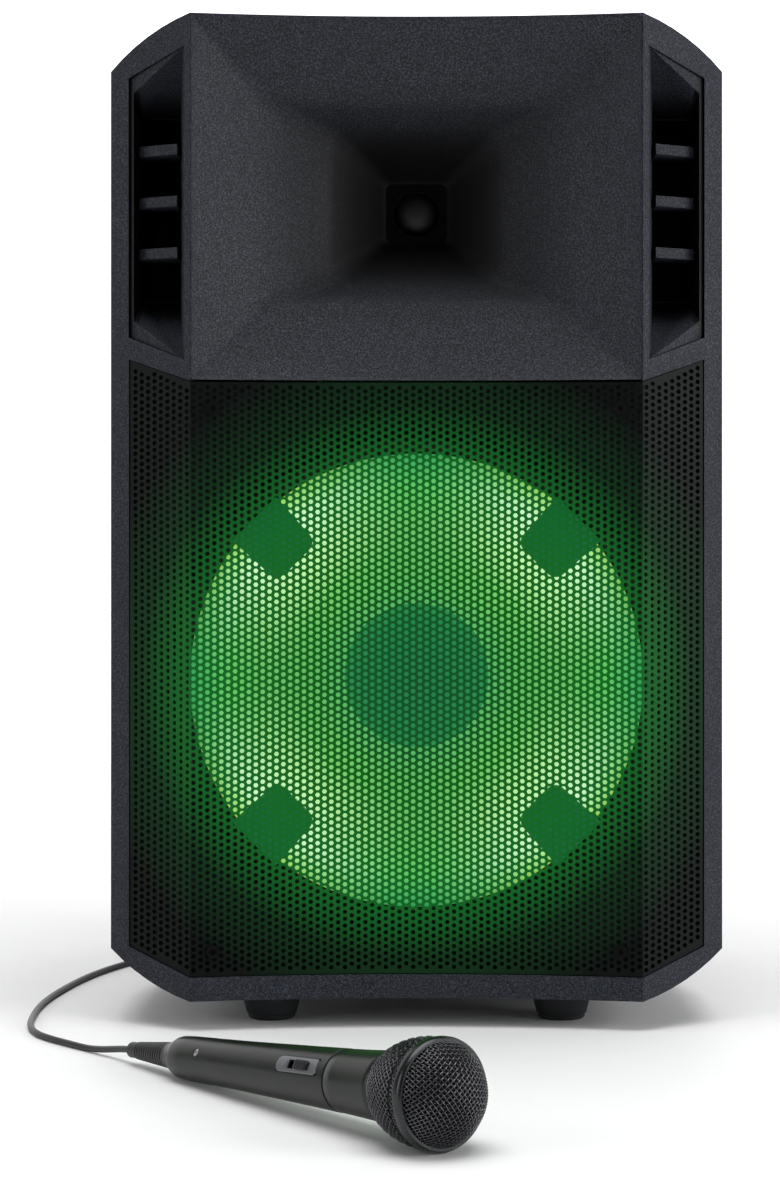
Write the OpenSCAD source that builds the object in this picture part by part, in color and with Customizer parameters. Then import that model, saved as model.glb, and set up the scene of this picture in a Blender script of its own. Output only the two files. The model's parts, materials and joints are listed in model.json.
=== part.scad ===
// Portable party speaker: dished front, horn over a lit woofer, wired microphone.
// Frame: origin at the mouth of the pole socket under the cabinet, +Z up, front towards -Y.

/* [Cabinet] */
// Width of the cabinet
body_w = 330; // [320:1:340]
// Height of the cabinet without its feet
body_h = 524; // [518:1:530]
// Depth of the cabinet
body_d = 290; // [280:1:310]
// Half the distance between the two front corner ridges
ridge_x = 120; // [118:1:122]
// How far the middle of the front is dished in behind the ridges
front_dish = 12; // [8:1:14]
// How far the side facets fall back from the ridges
facet_fall = 29; // [27:1:31]
// Drop of the top shoulders
shoulder_drop = 27; // [24:1:30]
// Rise of the bottom shoulders
base_rise = 24; // [20:1:26]
// Thickness of the moulded walls
wall = 3.5; // [3:0.5:4]

/* [Horn and vents] */
// Height of the line between the horn and the grille
horn_z = 329; // [327:1:331]
// Depth of the horn from the ridges to its throat
horn_depth = 79; // [76:1:82]
// Thickness of each vent rib
rib_t = 5.6; // [5:0.2:6]

/* [Woofer] */
// Height of the woofer axis
woofer_z = 168.7; // [167:0.1:170]
// Radius of the woofer's outer flange
flange_r = 131; // [130:0.5:132]
// Radius of the dust cap
cap_r = 40; // [38:0.5:42]
// Radius of the magnet
magnet_r = 62; // [58:1:66]

/* [Controls] */
// Radius of the master volume knob
volume_r = 17; // [15:0.5:19]
// Radius of the two small knobs
knob_r = 11; // [9:0.5:12]

/* [Feet and pole socket] */
// Height of the feet
foot_h = 16; // [14:1:18]
// Distance of the feet from the middle plane
foot_x = 79; // [75:1:83]
// Radius of the pole that the socket takes, with its clearance
pole_r = 17.8; // [17.6:0.1:18]

/* [Microphone] */
// Radius of the ball of the microphone head
head_r = 24.3; // [24:0.1:24.6]
// Distance from the tail to the middle of the band
mic_l = 209.6; // [209:0.2:210.2]

/* [Hidden] */

$fn = 64;
eps = 0.05;
charcoal = [0.13, 0.14, 0.16];
black = [0.06, 0.06, 0.07];
steel = [0.7, 0.7, 0.72];
green = [0.35, 0.9, 0.3];
dark_green = [0.1, 0.35, 0.25];
silver = [0.75, 0.76, 0.78];

half_w = body_w / 2;
front_y = -body_d / 2;              // the ridges, the foremost lines of the cabinet
rear_y = body_d / 2;
seam_y = -35;                       // where the front and rear housings meet
baffle_y = -110;                    // front face of the baffle
baffle_t = 8;
dish_r = (ridge_x * ridge_x + front_dish * front_dish) / (2 * front_dish);
shoulder_r = 102;
floor_z = -foot_h;
rear_corner = [129.3, 124.8];       // where the flat sides give way to the rounded rear corners
rear_flat_x = 104;
rear_corner_r = 26;
rear_edge_r = 18;

// Points of an arc of radius r from p to q, bulging to the right of p-q when r is positive.
function arc_between(p, q, r, n) =
    let (d = q - p, c = norm(d), h = sqrt(r * r - c * c / 4),
        u = [-d[1], d[0]] / c, s = sign(r), o = (p + q) / 2 + u * h * s,
        a0 = atan2(p[1] - o[1], p[0] - o[0]), a1 = atan2(q[1] - o[1], q[0] - o[0]),
        da = (a1 - a0 + 540 - 360 * floor((a1 - a0 + 540) / 360)) - 180)
    [for (i = [0:n]) o + abs(r) * [cos(a0 + da * i / n), sin(a0 + da * i / n)]];

// Depth of the front surface at x.
function front_at(x) = abs(x) <= ridge_x
    ? front_y - sqrt(dish_r * dish_r - ridge_x * ridge_x) + sqrt(dish_r * dish_r - x * x)
    : front_y + (abs(x) - ridge_x) * facet_fall / (half_w - ridge_x);

// Front line in plan, from -x to +x, moved back by t and reaching out to x = reach.
function front_line(reach, t) = concat([[-reach, front_at(reach) + t]],
    [for (i = [-8:8]) [ridge_x * i / 8, front_at(ridge_x * i / 8) + t]],
    [[reach, front_at(reach) + t]]);

// Outline of the cabinet in plan, drawn in by t.
function plan_outline(t) =
    let (w = half_w - t, x1 = rear_corner[0] - t, y1 = rear_corner[1], x2 = rear_flat_x, y2 = rear_y - t)
    concat(front_line(w, t), [[w, seam_y]],
        arc_between([x1, y1], [x2, y2], rear_corner_r, 6),
        arc_between([-x2, y2], [-x1, y1], rear_corner_r, 6), [[-w, seam_y]]);

// Outline of the cabinet from the front, drawn in by t.
function front_outline(t) =
    let (w = half_w - t, top = body_h - t, k = t * 0.4)
    concat(arc_between([ridge_x, t], [w, base_rise + k], shoulder_r, 6),
        arc_between([w, body_h - shoulder_drop - k], [ridge_x, top], shoulder_r, 6),
        arc_between([-ridge_x, top], [-w, body_h - shoulder_drop - k], shoulder_r, 6),
        arc_between([-w, base_rise + k], [-ridge_x, t], shoulder_r, 6));

// Outline of the cabinet from the side, drawn in by t, with its rear edges rounded.
function side_outline(t) =
    let (r = rear_edge_r)
    concat([[front_y - 1, t]],
        arc_between([rear_y - r, t], [rear_y - t, r], r - t, 5),
        arc_between([rear_y - t, body_h - r], [rear_y - r, body_h - t], r - t, 5),
        [[front_y - 1, body_h - t]]);

module cabinet_block(t) {
    intersection() {
        linear_extrude(body_h) polygon(plan_outline(t));
        translate([0, body_d, 0]) rotate([90, 0, 0])
            linear_extrude(2 * body_d) polygon(front_outline(t));
        translate([-half_w, 0, 0]) rotate([90, 0, 90]) linear_extrude(body_w) polygon(side_outline(t));
    }
}

// A box from corner a to corner b.
module span(a, b) {
    translate(a) cube(b - a);
}

// A box whose half width and half height are half, round at in x and z, from y0 to y1.
module around(at, half, y0, y1) {
    span([at[0] - half[0], y0, at[1] - half[1]], [at[0] + half[0], y1, at[1] + half[1]]);
}

// Puts a driver's axis, drawn along +Z and facing up, along -Y at height z.
module facing_front(z) {
    translate([0, 0, z]) rotate([90, 0, 0]) children();
}

// Puts a part drawn along +Z on the rear panel at x, z, standing out from its face.
module on_panel(x, z) {
    translate([x, panel_y, z]) rotate([-90, 0, 0]) children();
}

module tube(r_out, r_in, h) {
    difference() {
        cylinder(r = r_out, h = h);
        translate([0, 0, -1]) cylinder(r = r_in, h = h + 2);
    }
}

// A countersunk or pan head on a short shank, along +Z, head up at z = 0.
module screw(head_r, head_h, shank_r, shank_l) {
    difference() {
        cylinder(r = head_r, h = head_h);
        translate([0, 0, head_h * 0.4]) cylinder(r = head_r * 0.45, h = head_h, $fn = 6);
    }
    translate([0, 0, -shank_l]) cylinder(r = shank_r, h = shank_l + eps);
}

// ---- grille opening and vents, seen from the front ----
grille_half = 154.6;
grille_low = 12.6;
grille_low_end = 26;
grille_top_end = 341.4;
grille_t = 1.2;
grille_back = 0.8;                  // how far the sheet lies behind the front surface
grille_screw_x = 108;
grille_screw_z = [26.2, 314.6];

function grille_outline(t) = [[-ridge_x, grille_low + t], [ridge_x, grille_low + t],
    [grille_half - t, grille_low_end + t], [grille_half - t, grille_top_end - t],
    [ridge_x, horn_z - t], [-ridge_x, horn_z - t],
    [-grille_half + t, grille_top_end - t], [-grille_half + t, grille_low_end + t]];

vent_in = 123.3;
vent_out = 154.8;
function vent_mouth(t) = [[vent_in + t, 340.5 + t], [vent_out - t, 353.2 + t],
    [vent_out - t, 492.6 - t], [vent_in + t, 507 - t]];
vent_back = [[129.3, 374.4], [149, 374.4], [149, 473.5], [129.3, 473.5]];
vent_back_off = 2;                  // how far the funnel's edge lies behind the facet
vent_floor_y = -96;
duct_end_y = -44;
duct_wall = 2.2;
rib_z = [398.3, 425.9, 453.6];
rib_x = [128, 150.5];
rib_behind = 9;                     // how far the ribs' front edges lie behind the facet

// Prism of an outline drawn in x and z, between depths y0 and y1.
module prism(outline, y0, y1) {
    translate([0, y1, 0]) rotate([90, 0, 0]) linear_extrude(y1 - y0) polygon(outline);
}

// ---- horn ----
mouth_half = 119.4;
mouth_top = 521.8;
horn_axis_z = 426;
flare_half = [80.1, 55];            // where the first slopes end
flare_y = front_y + 25;
stage_half = [48.7, 40.9];          // where the second slopes end
stage_y = front_y + 45;
throat_half = [18, 17];
throat_y = front_y + horn_depth;
throat_r = 12.6;
lip = 1.2;                          // flat edge round the mouth
horn_wall = 3;
rim_w = 5;
rim_y = -120;                       // back of the horn's straight rim
horn_steps = 8;
driver_r = 42;
horn_screw_at = 32;                 // from the horn's axis

// Ring of points round a rectangle in x and z, its long edges in equal steps.
function ring_points(x, z0, z1) = concat(
    [for (i = [0:horn_steps]) [x - 2 * x * i / horn_steps, z0]],
    [for (i = [0:horn_steps]) [-x + 2 * x * i / horn_steps, z1]]);
function at_depth(ring, y) = [for (p = ring) [p[0], y, p[1]]];
function on_front(ring, t) = [for (p = ring) [p[0], front_at(p[0]) + t, p[1]]];
function stage_ring(half, t) =
    ring_points(half[0] + t, horn_axis_z - half[1] - t, horn_axis_z + half[1] + t);

function middle(ring) = [for (k = [0:2]) let (c = [for (p = ring) p[k]]) (min(c) + max(c)) / 2];

// Skin through rings that run anticlockwise about the way they follow one another,
// with equal numbers of points, closed by a flat fan at each end.
module loft(rings) {
    n = len(rings[0]);
    last = (len(rings) - 1) * n;
    hub = len(rings) * n;
    polyhedron(
        points = concat([for (r = rings) each r], [middle(rings[0]), middle(rings[len(rings) - 1])]),
        faces = [for (i = [0:n - 1]) let (j = (i + 1) % n) each concat(
            [[hub, i, j], [hub + 1, last + j, last + i]],
            [for (k = [0:len(rings) - 2]) each let (a = k * n + i, b = k * n + j)
                [[a, a + n, b + n], [a, b + n, b]]])]);
}

// ---- housings ----
panel_half = [92, 118];
panel_mid_z = 318;
panel_y = rear_y - 1;               // outer face of the rear control panel
panel_t = 3;
ledge = 8;
handle_y = [40, 104];
handle_half = 62;
handle_floor = body_h - 42;
foot_y = 100;
housing_screw_at = [for (x = [-90, 90]) for (z = [40, 170, 480]) [x, z]];

module front_housing() {
    color(charcoal) difference() {
        intersection() {
            cabinet_block(0);
            span([-half_w, front_y - 1, -1], [half_w, seam_y, body_h + 1]);
        }
        intersection() {
            cabinet_block(wall);
            span([-half_w, baffle_y + baffle_t, -1], [half_w, seam_y + 1, body_h + 1]);
        }
        prism(grille_outline(0), front_y - 2, baffle_y);
        prism([[-mouth_half - 0.2, horn_z], [mouth_half + 0.2, horn_z],
            [mouth_half + 0.2, mouth_top + 0.2], [-mouth_half - 0.2, mouth_top + 0.2]],
            front_y - 2, baffle_y + baffle_t + 1);
        for (s = [0, 1]) mirror([s, 0, 0]) prism(vent_mouth(0), front_y - 2, baffle_y + baffle_t + 1);
        facing_front(woofer_z) {
            cylinder(r = 121, h = -baffle_y + 1);
            woofer_screw_places() translate([0, 0, -baffle_y - 6.5]) cylinder(r = 2.15, h = 8);
        }
        for (x = [-1, 1]) for (z = grille_screw_z)
            translate([x * grille_screw_x, baffle_y + 4, z]) rotate([90, 0, 0]) cylinder(r = 1.6, h = 8);
    }
}

module rear_housing() {
    color(charcoal) difference() {
        union() {
            difference() {
                intersection() {
                    cabinet_block(0);
                    span([-half_w, seam_y, -1], [half_w, rear_y + 1, body_h + 1]);
                }
                intersection() {
                    cabinet_block(wall);
                    span([-half_w, seam_y - 1, -1], [half_w, rear_y + 1, body_h + 1]);
                }
            }
            span([-panel_half[0] - 2, rear_y - 12, panel_mid_z - panel_half[1] - 2],
                [panel_half[0] + 2, rear_y - 1, panel_mid_z + panel_half[1] + 2]);
            span([-handle_half - 3, handle_y[0] - 3, handle_floor - 3],
                [handle_half + 3, handle_y[1] + 3, body_h - 1]);
            cylinder(r = pole_r + 6, h = 72);
        }
        span([-panel_half[0] + ledge, rear_y - 20, panel_mid_z - panel_half[1] + ledge],
            [panel_half[0] - ledge, rear_y + 1, panel_mid_z + panel_half[1] - ledge]);
        span([-panel_half[0], panel_y - panel_t, panel_mid_z - panel_half[1]],
            [panel_half[0], rear_y + 1, panel_mid_z + panel_half[1]]);
        span([-handle_half, handle_y[0], handle_floor], [handle_half, handle_y[1], body_h + 1]);
        translate([0, 0, -1]) cylinder(r = pole_r + 3, h = 70);
        for (p = housing_screw_at) translate([p[0], rear_y + 1, p[1]]) rotate([90, 0, 0]) {
            cylinder(r = 5, h = 3);
            cylinder(r = 2.2, h = 12);
        }
    }
}

module housing_screws() {
    color(steel) for (p = housing_screw_at)
        translate([p[0], rear_y - 1.9, p[1]]) rotate([-90, 0, 0]) screw(3.8, 1.6, 1.9, 12);
}

function reversed(p) = [for (i = [len(p) - 1:-1:0]) p[i]];

module grille() {
    sheet = concat(front_line(grille_half + 4, grille_back),
        reversed(front_line(grille_half + 4, grille_back + grille_t)));
    color(black) difference() {
        intersection() {
            linear_extrude(body_h) polygon(sheet);
            prism(grille_outline(0.5), front_y - 5, baffle_y);
        }
        for (x = [-1, 1]) for (z = grille_screw_z)
            translate([x * grille_screw_x, baffle_y, z]) rotate([90, 0, 0]) cylinder(r = 2, h = 50);
    }
}

module grille_screws() {
    color(black) for (x = [-1, 1]) for (z = grille_screw_z)
        translate([x * grille_screw_x, front_at(grille_screw_x) + 0.2, z]) rotate([90, 0, 0])
            screw(3.6, 1.4, 1.5, 27);
}

// A thin shell behind two sets of slopes, with a straight rim round its mouth.
module horn_waveguide() {
    low = horn_z + 0.2;
    mouth = ring_points(mouth_half, low, mouth_top);
    inner = ring_points(mouth_half - lip, low + lip, mouth_top - lip);
    color(charcoal) difference() {
        union() {
            intersection() {
                difference() {
                    span([-mouth_half, front_y - 1, low], [mouth_half, rim_y, mouth_top]);
                    span([-mouth_half + rim_w, front_y - 2, low + rim_w],
                        [mouth_half - rim_w, rim_y + 1, mouth_top - rim_w]);
                }
                linear_extrude(body_h) polygon(plan_outline(0));
            }
            loft([on_front(mouth, 1), at_depth(stage_ring(flare_half, horn_wall), flare_y + horn_wall),
                at_depth(stage_ring(stage_half, horn_wall), stage_y + horn_wall),
                at_depth(stage_ring(throat_half, horn_wall + 5), throat_y + 4)]);
            facing_front(horn_axis_z) translate([0, 0, -throat_y - 4]) cylinder(r = driver_r, h = 6);
        }
        loft([at_depth(inner, front_y - 4), on_front(inner, 0),
            at_depth(stage_ring(flare_half, 0), flare_y),
            at_depth(stage_ring(stage_half, 0), stage_y),
            at_depth(stage_ring(throat_half, 0), throat_y)]);
        facing_front(horn_axis_z) translate([0, 0, -throat_y - 5]) cylinder(r = throat_r, h = 10);
        facing_front(horn_axis_z) for (a = [45:90:315])
            rotate(a) translate([horn_screw_at, 0, -throat_y - 5]) cylinder(r = 1.7, h = 3.5);
    }
}

// Right vent: a funnel behind the facet, three ribs across it and a duct into the cabinet.
module vent() {
    difference() {
        intersection() {
            prism(vent_mouth(0.3), front_y, vent_floor_y);
            linear_extrude(body_h)
                polygon(concat(front_line(half_w - 2, vent_back_off), [[half_w - 2, 0], [-half_w, 0]]));
        }
        hull() {
            prism(vent_mouth(0.8), front_y - 3, front_y - 2);
            prism(vent_mouth(0.8), front_y + 4, front_y + 5);
            prism(vent_back, vent_floor_y - 1, vent_floor_y + 1);
        }
    }
    difference() {
        span([vent_back[0][0] - duct_wall, vent_floor_y, vent_back[0][1] - duct_wall],
            [vent_back[2][0] + duct_wall, duct_end_y, vent_back[2][1] + duct_wall]);
        span([vent_back[0][0], vent_floor_y - 1, vent_back[0][1]],
            [vent_back[2][0], duct_end_y + 1, vent_back[2][1]]);
    }
    for (z = rib_z) translate([0, 0, z - rib_t / 2]) linear_extrude(rib_t)
        polygon([[rib_x[0], front_at(rib_x[0]) + rib_behind], [rib_x[1], front_at(rib_x[1]) + rib_behind],
            [rib_x[1], vent_floor_y - 1], [rib_x[0], vent_floor_y - 1]]);
}

module vent_right() {
    color(black) vent();
}

module vent_left() {
    color(black) mirror([1, 0, 0]) vent();
}

module carry_handle() {
    y = (handle_y[0] + handle_y[1]) / 2;
    r = 9;
    color(black) translate([-handle_half, y, body_h - r - 4]) rotate([0, 90, 0]) difference() {
        union() {
            cylinder(r = r, h = 2 * handle_half);
            for (x = [0, 2 * handle_half - 8]) translate([0, 0, x]) cylinder(r = r + 3, h = 8);
        }
        for (x = [-1, 2 * handle_half - 9]) translate([0, 0, x]) cylinder(r = 1.9, h = 10);
    }
}

module handle_screws() {
    y = (handle_y[0] + handle_y[1]) / 2;
    color(steel) for (s = [0, 1]) mirror([s, 0, 0])
        translate([handle_half - 7, y, body_h - 13]) rotate([0, 90, 0]) cylinder(r = 1.85, h = 6.9);
}

module foot() {
    rotate_extrude() polygon([[0, 0], [11.7, 0], [12.7, 1], [12.7, 2.5], [13.6, 3], [16.6, foot_h - 1.5],
        [17.2, foot_h - 1.5], [17.2, foot_h], [0, foot_h]]);
}

module foot_front_left() {
    color(black) translate([-foot_x, -foot_y, floor_z]) foot();
}

module foot_front_right() {
    color(black) translate([foot_x, -foot_y, floor_z]) foot();
}

module foot_rear_left() {
    color(black) translate([-foot_x, foot_y, floor_z]) foot();
}

module foot_rear_right() {
    color(black) translate([foot_x, foot_y, floor_z]) foot();
}

module pole_socket() {
    color(steel) {
        tube(pole_r + 3, pole_r, 66);
        translate([0, 0, 66]) cylinder(r = pole_r + 3, h = 2.9);
    }
}

// ---- woofer, drawn along +Z with the front of the cabinet up; local z is -y ----
cone_in = [19.7, 58];               // radius and height of the neck's back edge
cone_out = [104, 110];
screw_ring_r = 126;
coil_r = [18.9, 19.7];
flange_top = 115;

module woofer_screw_places() {
    for (a = [22.5:45:337.5]) rotate(a) translate([screw_ring_r, 0, 0]) children();
}

module woofer_basket() {
    color(black) facing_front(woofer_z) difference() {
        union() {
            rotate_extrude($fn = 96) polygon([[113, 112], [113, flange_top], [flange_r, flange_top],
                [flange_r, 110.2], [120.4, 110.2], [84, 52], [84, 25], [59, 25], [59, 28],
                [80, 28], [80, 48], [68, 48],
                [68, 50], [80.5, 50], [117, 108.5], [117, 112]]);
        }
        for (a = [30:60:330]) rotate(a) translate([70, -19, 54]) cube([60, 38, 38]);
        woofer_screw_places() translate([0, 0, 105]) cylinder(r = 2.3, h = 12);
    }
}

module woofer_screws() {
    color(black) facing_front(woofer_z) woofer_screw_places()
        translate([0, 0, flange_top + 0.1]) screw(3.2, 1.9, 1.95, 11);
}

module woofer_surround() {
    n = 10;
    color(black) facing_front(woofer_z) rotate_extrude($fn = 96)
        polygon(concat([[104.5, 112.1], [107.5, 112.1]],
            [for (i = [0:n]) [114 - 6 * cos(180 * i / n), 115.2 + 4.6 * sin(180 * i / n)]],
            [[122.3, 115.2], [122.3, 116.4], [121.3, 116.4]],
            [for (i = [n:-1:0]) [114 - 7.2 * cos(180 * i / n), 115.5 + 5.3 * sin(180 * i / n)]],
            [[104.5, 113.3]]));
}

module woofer_cone() {
    color(green) facing_front(woofer_z) rotate_extrude($fn = 96)
        polygon([cone_in, cone_out, [107, 110], [107, 112], [104, 112], [19.7, 60.5]]);
}

// Height of the cone's front face at radius r.
function cone_face(r) = 60.5 + (r - 19.7) * (112 - 60.5) / (104 - 19.7);
cap_rise = 13;
cap_sphere = (cap_r * cap_r + cap_rise * cap_rise) / (2 * cap_rise);

module dust_cap() {
    n = 10;
    half = asin(cap_r / cap_sphere);
    base = cone_face(cap_r);
    color(dark_green) facing_front(woofer_z) rotate_extrude($fn = 96)
        polygon(concat([[cap_r - 1.5, cone_face(cap_r - 1.5)], [cap_r, base]],
            [for (i = [0:n]) let (a = half * (1 - i / n))
                [cap_sphere * sin(a), base + 0.3 + cap_sphere * (cos(a) - cos(half))]],
            [for (i = [0:n]) let (a = half * i / n * (cap_r - 1.5) / cap_r)
                [(cap_sphere - 1) * sin(a),
                    base - 0.7 + cap_sphere * (1 - cos(half)) - (cap_sphere - 1) * (1 - cos(a))]]));
}

module voice_coil() {
    color("peru") facing_front(woofer_z) translate([0, 0, 8]) tube(coil_r[1], coil_r[0], 52);
}

module spider() {
    n = 12;
    step = (78 - 19.8) / (2 * n);
    color("khaki") facing_front(woofer_z) rotate_extrude($fn = 96)
        polygon(concat([for (i = [0:2 * n]) [19.8 + i * step, 51.6 + (i % 2) * 1.6]],
            [for (i = [2 * n:-1:0]) [19.8 + i * step, 50.6 + (i % 2) * 1.6]]));
}

module woofer_top_plate() {
    color(steel) facing_front(woofer_z) translate([0, 0, 17]) tube(magnet_r - 3, 20.3, 7.9);
}

module woofer_magnet() {
    color([0.25, 0.25, 0.27]) facing_front(woofer_z) translate([0, 0, -3]) tube(magnet_r, 26, 20);
}

module woofer_yoke() {
    color(steel) facing_front(woofer_z) difference() {
        union() {
            translate([0, 0, -10]) cylinder(r = magnet_r - 4, h = 7);
            translate([0, 0, -5]) cylinder(r = 18.3, h = 30);
        }
        translate([0, 0, -11]) cylinder(r = 6, h = 40);
    }
}

module led_ring() {
    color(green) facing_front(woofer_z) rotate_extrude($fn = 96)
        polygon([[129.4, 115.1], [130.8, 115.1], [130.8, 121],
            [122.5, 121], [122.5, 119.4], [129.4, 119.4]]);
}

module led_pods() {
    color(black) facing_front(woofer_z) for (a = [45:90:315]) rotate(a) hull() {
        translate([122.2, -16.5, 122.2]) cube([1, 33, 6]);
        for (y = [-9, 9]) translate([96.5, y, 122.2]) cylinder(r = 6, h = 6, $fn = 32);
    }
}

// ---- tweeter, drawn the same way on the horn's axis; its throat is at local z = 66 ----
module tweeter_body() {
    color(black) facing_front(horn_axis_z) difference() {
        union() {
            translate([0, 0, 54]) cylinder(r = 38, h = 7.9);
            translate([0, 0, 18]) cylinder(r = 28, h = 36.1);
            translate([0, 0, 14]) cylinder(r = 24, h = 4.1);
        }
        translate([0, 0, 50]) cylinder(r = 14, h = 20);
        for (a = [45:90:315]) rotate(a) translate([horn_screw_at, 0, 50]) cylinder(r = 1.9, h = 14);
    }
}

module tweeter_diaphragm() {
    n = 8;
    color(silver) facing_front(horn_axis_z) rotate_extrude()
        polygon(concat([[0, 54], [12.5, 50], [13.8, 50], [13.8, 61.8], [12.8, 61.8], [12.8, 53]],
            [for (i = [0:n]) [12 * cos(90 * i / n), 53.5 + 6 * sin(90 * i / n)]]));
}

module tweeter_screws() {
    color(steel) facing_front(horn_axis_z) for (a = [45:90:315])
        rotate(a) translate([horn_screw_at, 0, 53.9]) rotate([180, 0, 0]) screw(3, 1.8, 1.6, 9);
}

// ---- electronics ----
module amplifier_board() {
    color("darkgreen") span([-78, 108, 218], [78, 110, 412]);
    color(black) for (x = [-50, -20, 10])
        translate([x, 108.05, 250]) rotate([90, 0, 0]) cylinder(r = 8, h = 22);
    color("orange") translate([45, 108.05, 262]) rotate([90, 0, 0]) cylinder(r = 14, h = 12);
}

module heat_sink() {
    color(steel) {
        span([-60, 102, 300], [60, 107.9, 390]);
        for (i = [0:9]) span([-60 + i * 13, 72, 300], [-57 + i * 13, 102.05, 390]);
    }
}

module power_supply() {
    color("darkolivegreen") span([-80, 60, 22], [20, 62, 118]);
    color("gold") span([-50, 62, 40], [-8, 96, 82]);
    color(black) for (x = [-64, 2]) translate([x, 61.95, 98]) rotate([-90, 0, 0]) cylinder(r = 9, h = 26);
}

module battery_pack() {
    color("royalblue") for (i = [0:2]) translate([40 + 21 * i, 40, 14]) cylinder(r = 9.8, h = 130);
    color("royalblue") span([30, 28, 3.6], [94, 52, 14.05]);
    color("royalblue") span([30, 28, 143.95], [94, 52, 150]);
}

// ---- rear control panel and what is on it ----
knob_at = [[-48, 392], [0, 392], [48, 392]];
button_x = [-54, -18, 18, 54];
button_z = 338;
button_r = 6;
rocker_at = [58, 232];
inlet_at = [-50, 232];
jack_at = [[-56, 290], [-24, 290], [8, 290]];
mic_jack = jack_at[0];
usb_at = [54, 290];

module control_panel() {
    color(black) difference() {
        span([-panel_half[0] + 0.3, panel_y - panel_t, panel_mid_z - panel_half[1] + 0.3],
            [panel_half[0] - 0.3, panel_y, panel_mid_z + panel_half[1] - 0.3]);
        for (p = knob_at) on_panel(p[0], p[1]) translate([0, 0, -10]) cylinder(r = 4, h = 20);
        for (x = button_x)
            on_panel(x, button_z) translate([0, 0, -10]) cylinder(r = button_r + 0.4, h = 20);
        for (p = jack_at) on_panel(p[0], p[1]) translate([0, 0, -10]) cylinder(r = 5.2, h = 20);
        around(usb_at, [8, 4], panel_y - 10, panel_y + 10);
        around(rocker_at, [14, 10.5], panel_y - 10, panel_y + 10);
        around(inlet_at, [14, 10], panel_y - 10, panel_y + 10);
        for (x = [-1, 1]) for (z = [-1, 0, 1])
            on_panel(x * 88, panel_mid_z + z * 112) translate([0, 0, -10]) cylinder(r = 1.7, h = 20);
    }
}

module panel_screws() {
    color(steel) for (x = [-1, 1]) for (z = [-1, 0, 1])
        on_panel(x * 88, panel_mid_z + z * 112) translate([0, 0, 0.05]) screw(3.2, 1.5, 1.6, 2.8);
}

// A ribbed knob with a pointer line, its shaft through the panel.
module knob(r, h) {
    difference() {
        union() {
            translate([0, 0, 1]) cylinder(r1 = r, r2 = r * 0.9, h = h);
            translate([0, 0, -9]) cylinder(r = 3, h = 11);
        }
        for (a = [0:20:340]) rotate(a)
            translate([r * 1.03, 0, 2.5]) cylinder(r = r * 0.09, h = h, $fn = 24);
        translate([-0.6, r * 0.3, h + 0.2]) cube([1.2, r * 0.6, 2]);
    }
}

module volume_knob() {
    color(black) on_panel(knob_at[1][0], knob_at[1][1]) knob(volume_r, 15);
}

module mic_volume_knob() {
    color(black) on_panel(knob_at[0][0], knob_at[0][1]) knob(knob_r, 12);
}

module echo_knob() {
    color(black) on_panel(knob_at[2][0], knob_at[2][1]) knob(knob_r, 12);
}

module push_button(i) {
    color(silver) on_panel(button_x[i], button_z) translate([0, 0, -5]) {
        cylinder(r = button_r, h = 7.5);
        cylinder(r = button_r + 2, h = 1.6);
    }
}

module previous_button() {
    push_button(3);
}

module play_button() {
    push_button(2);
}

module next_button() {
    push_button(1);
}

module light_button() {
    push_button(0);
}

// The rocker is a shallow wedge that turns on its pins, along x.
module power_rocker() {
    color(black) translate([rocker_at[0], panel_y - 1, rocker_at[1]]) rotate([7, 0, 0]) rotate([0, 90, 0]) {
        cylinder(r = 1.2, h = 27, center = true);
        translate([0, 0, -12.5]) linear_extrude(25)
            polygon([[-8.5, -6], [8.5, -6], [8.5, 3.6], [4, 2.2], [0, 1.6], [-4, 2.2], [-8.5, 3.6]]);
    }
}

module jack_sockets() {
    color(steel) for (p = jack_at) on_panel(p[0], p[1]) {
        difference() {
            union() {
                translate([0, 0, -26]) cylinder(r = 5, h = 28.5);
                translate([0, 0, 0.05]) cylinder(r = 7.5, h = 1.6);
                translate([0, 0, -26]) cylinder(r = 8, h = 22.9);
            }
            translate([0, 0, -24]) cylinder(r = 3.3, h = 30);
        }
    }
}

module usb_port() {
    color(steel) difference() {
        around(usb_at, [7.5, 3.6], panel_y - 18, panel_y + 0.3);
        around(usb_at, [6.8, 2.9], panel_y - 16, panel_y + 1);
    }
    color("white") around(usb_at + [0, 0.9], [5.6, 1], panel_y - 16.5, panel_y - 2);
}

module power_inlet() {
    color(black) difference() {
        around(inlet_at, [13.7, 9.7], panel_y - 24, panel_y + 1);
        around(inlet_at, [11.5, 7.5], panel_y - 20, panel_y + 2);
    }
    color(silver) for (d = [[-7, -2], [0, 3], [7, -2]])
        around(inlet_at + d, [1, 2], panel_y - 21, panel_y - 4);
}

// ---- microphone, drawn along +X from its tail, then laid on the floor ----
mic_tail = [-119.2, -258.3];        // where the axis starts, in plan
mic_turn = -51.7;                   // which way the microphone points, in plan
tail_r = 10.3;
tail_x = 11.4;                      // where the tail rests on the floor
ball_x = 203.6;                     // middle of the ball
mic_tilt = asin((head_r - tail_r) / (ball_x - tail_x));
plate_roll = 30;                    // how far the switch plate is turned up from the side
handle_x = [0, 142.4];
head_x = 178.5;                     // where the mesh starts
spigot = 2;                         // how far the collar reaches into the handle
plate_x = [104, 136.8];
plate_half = 3.8;
plate_gap = 0.3;
slot_x = [113.7, 129.2];
slider_l = 9.4;
screw_x = 34.6;
recess_y = -11.2;                   // floor of the switch plate's recess

module laid_mic() {
    translate([mic_tail[0], mic_tail[1], floor_z + tail_r - tail_x * sin(mic_tilt) + 0.3])
        rotate([0, -mic_tilt, mic_turn]) children();
}

module lathe_x() {
    rotate([0, 90, 0]) rotate_extrude() children();
}

module rolled() {
    laid_mic() rotate([-plate_roll, 0, 0]) children();
}

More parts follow.
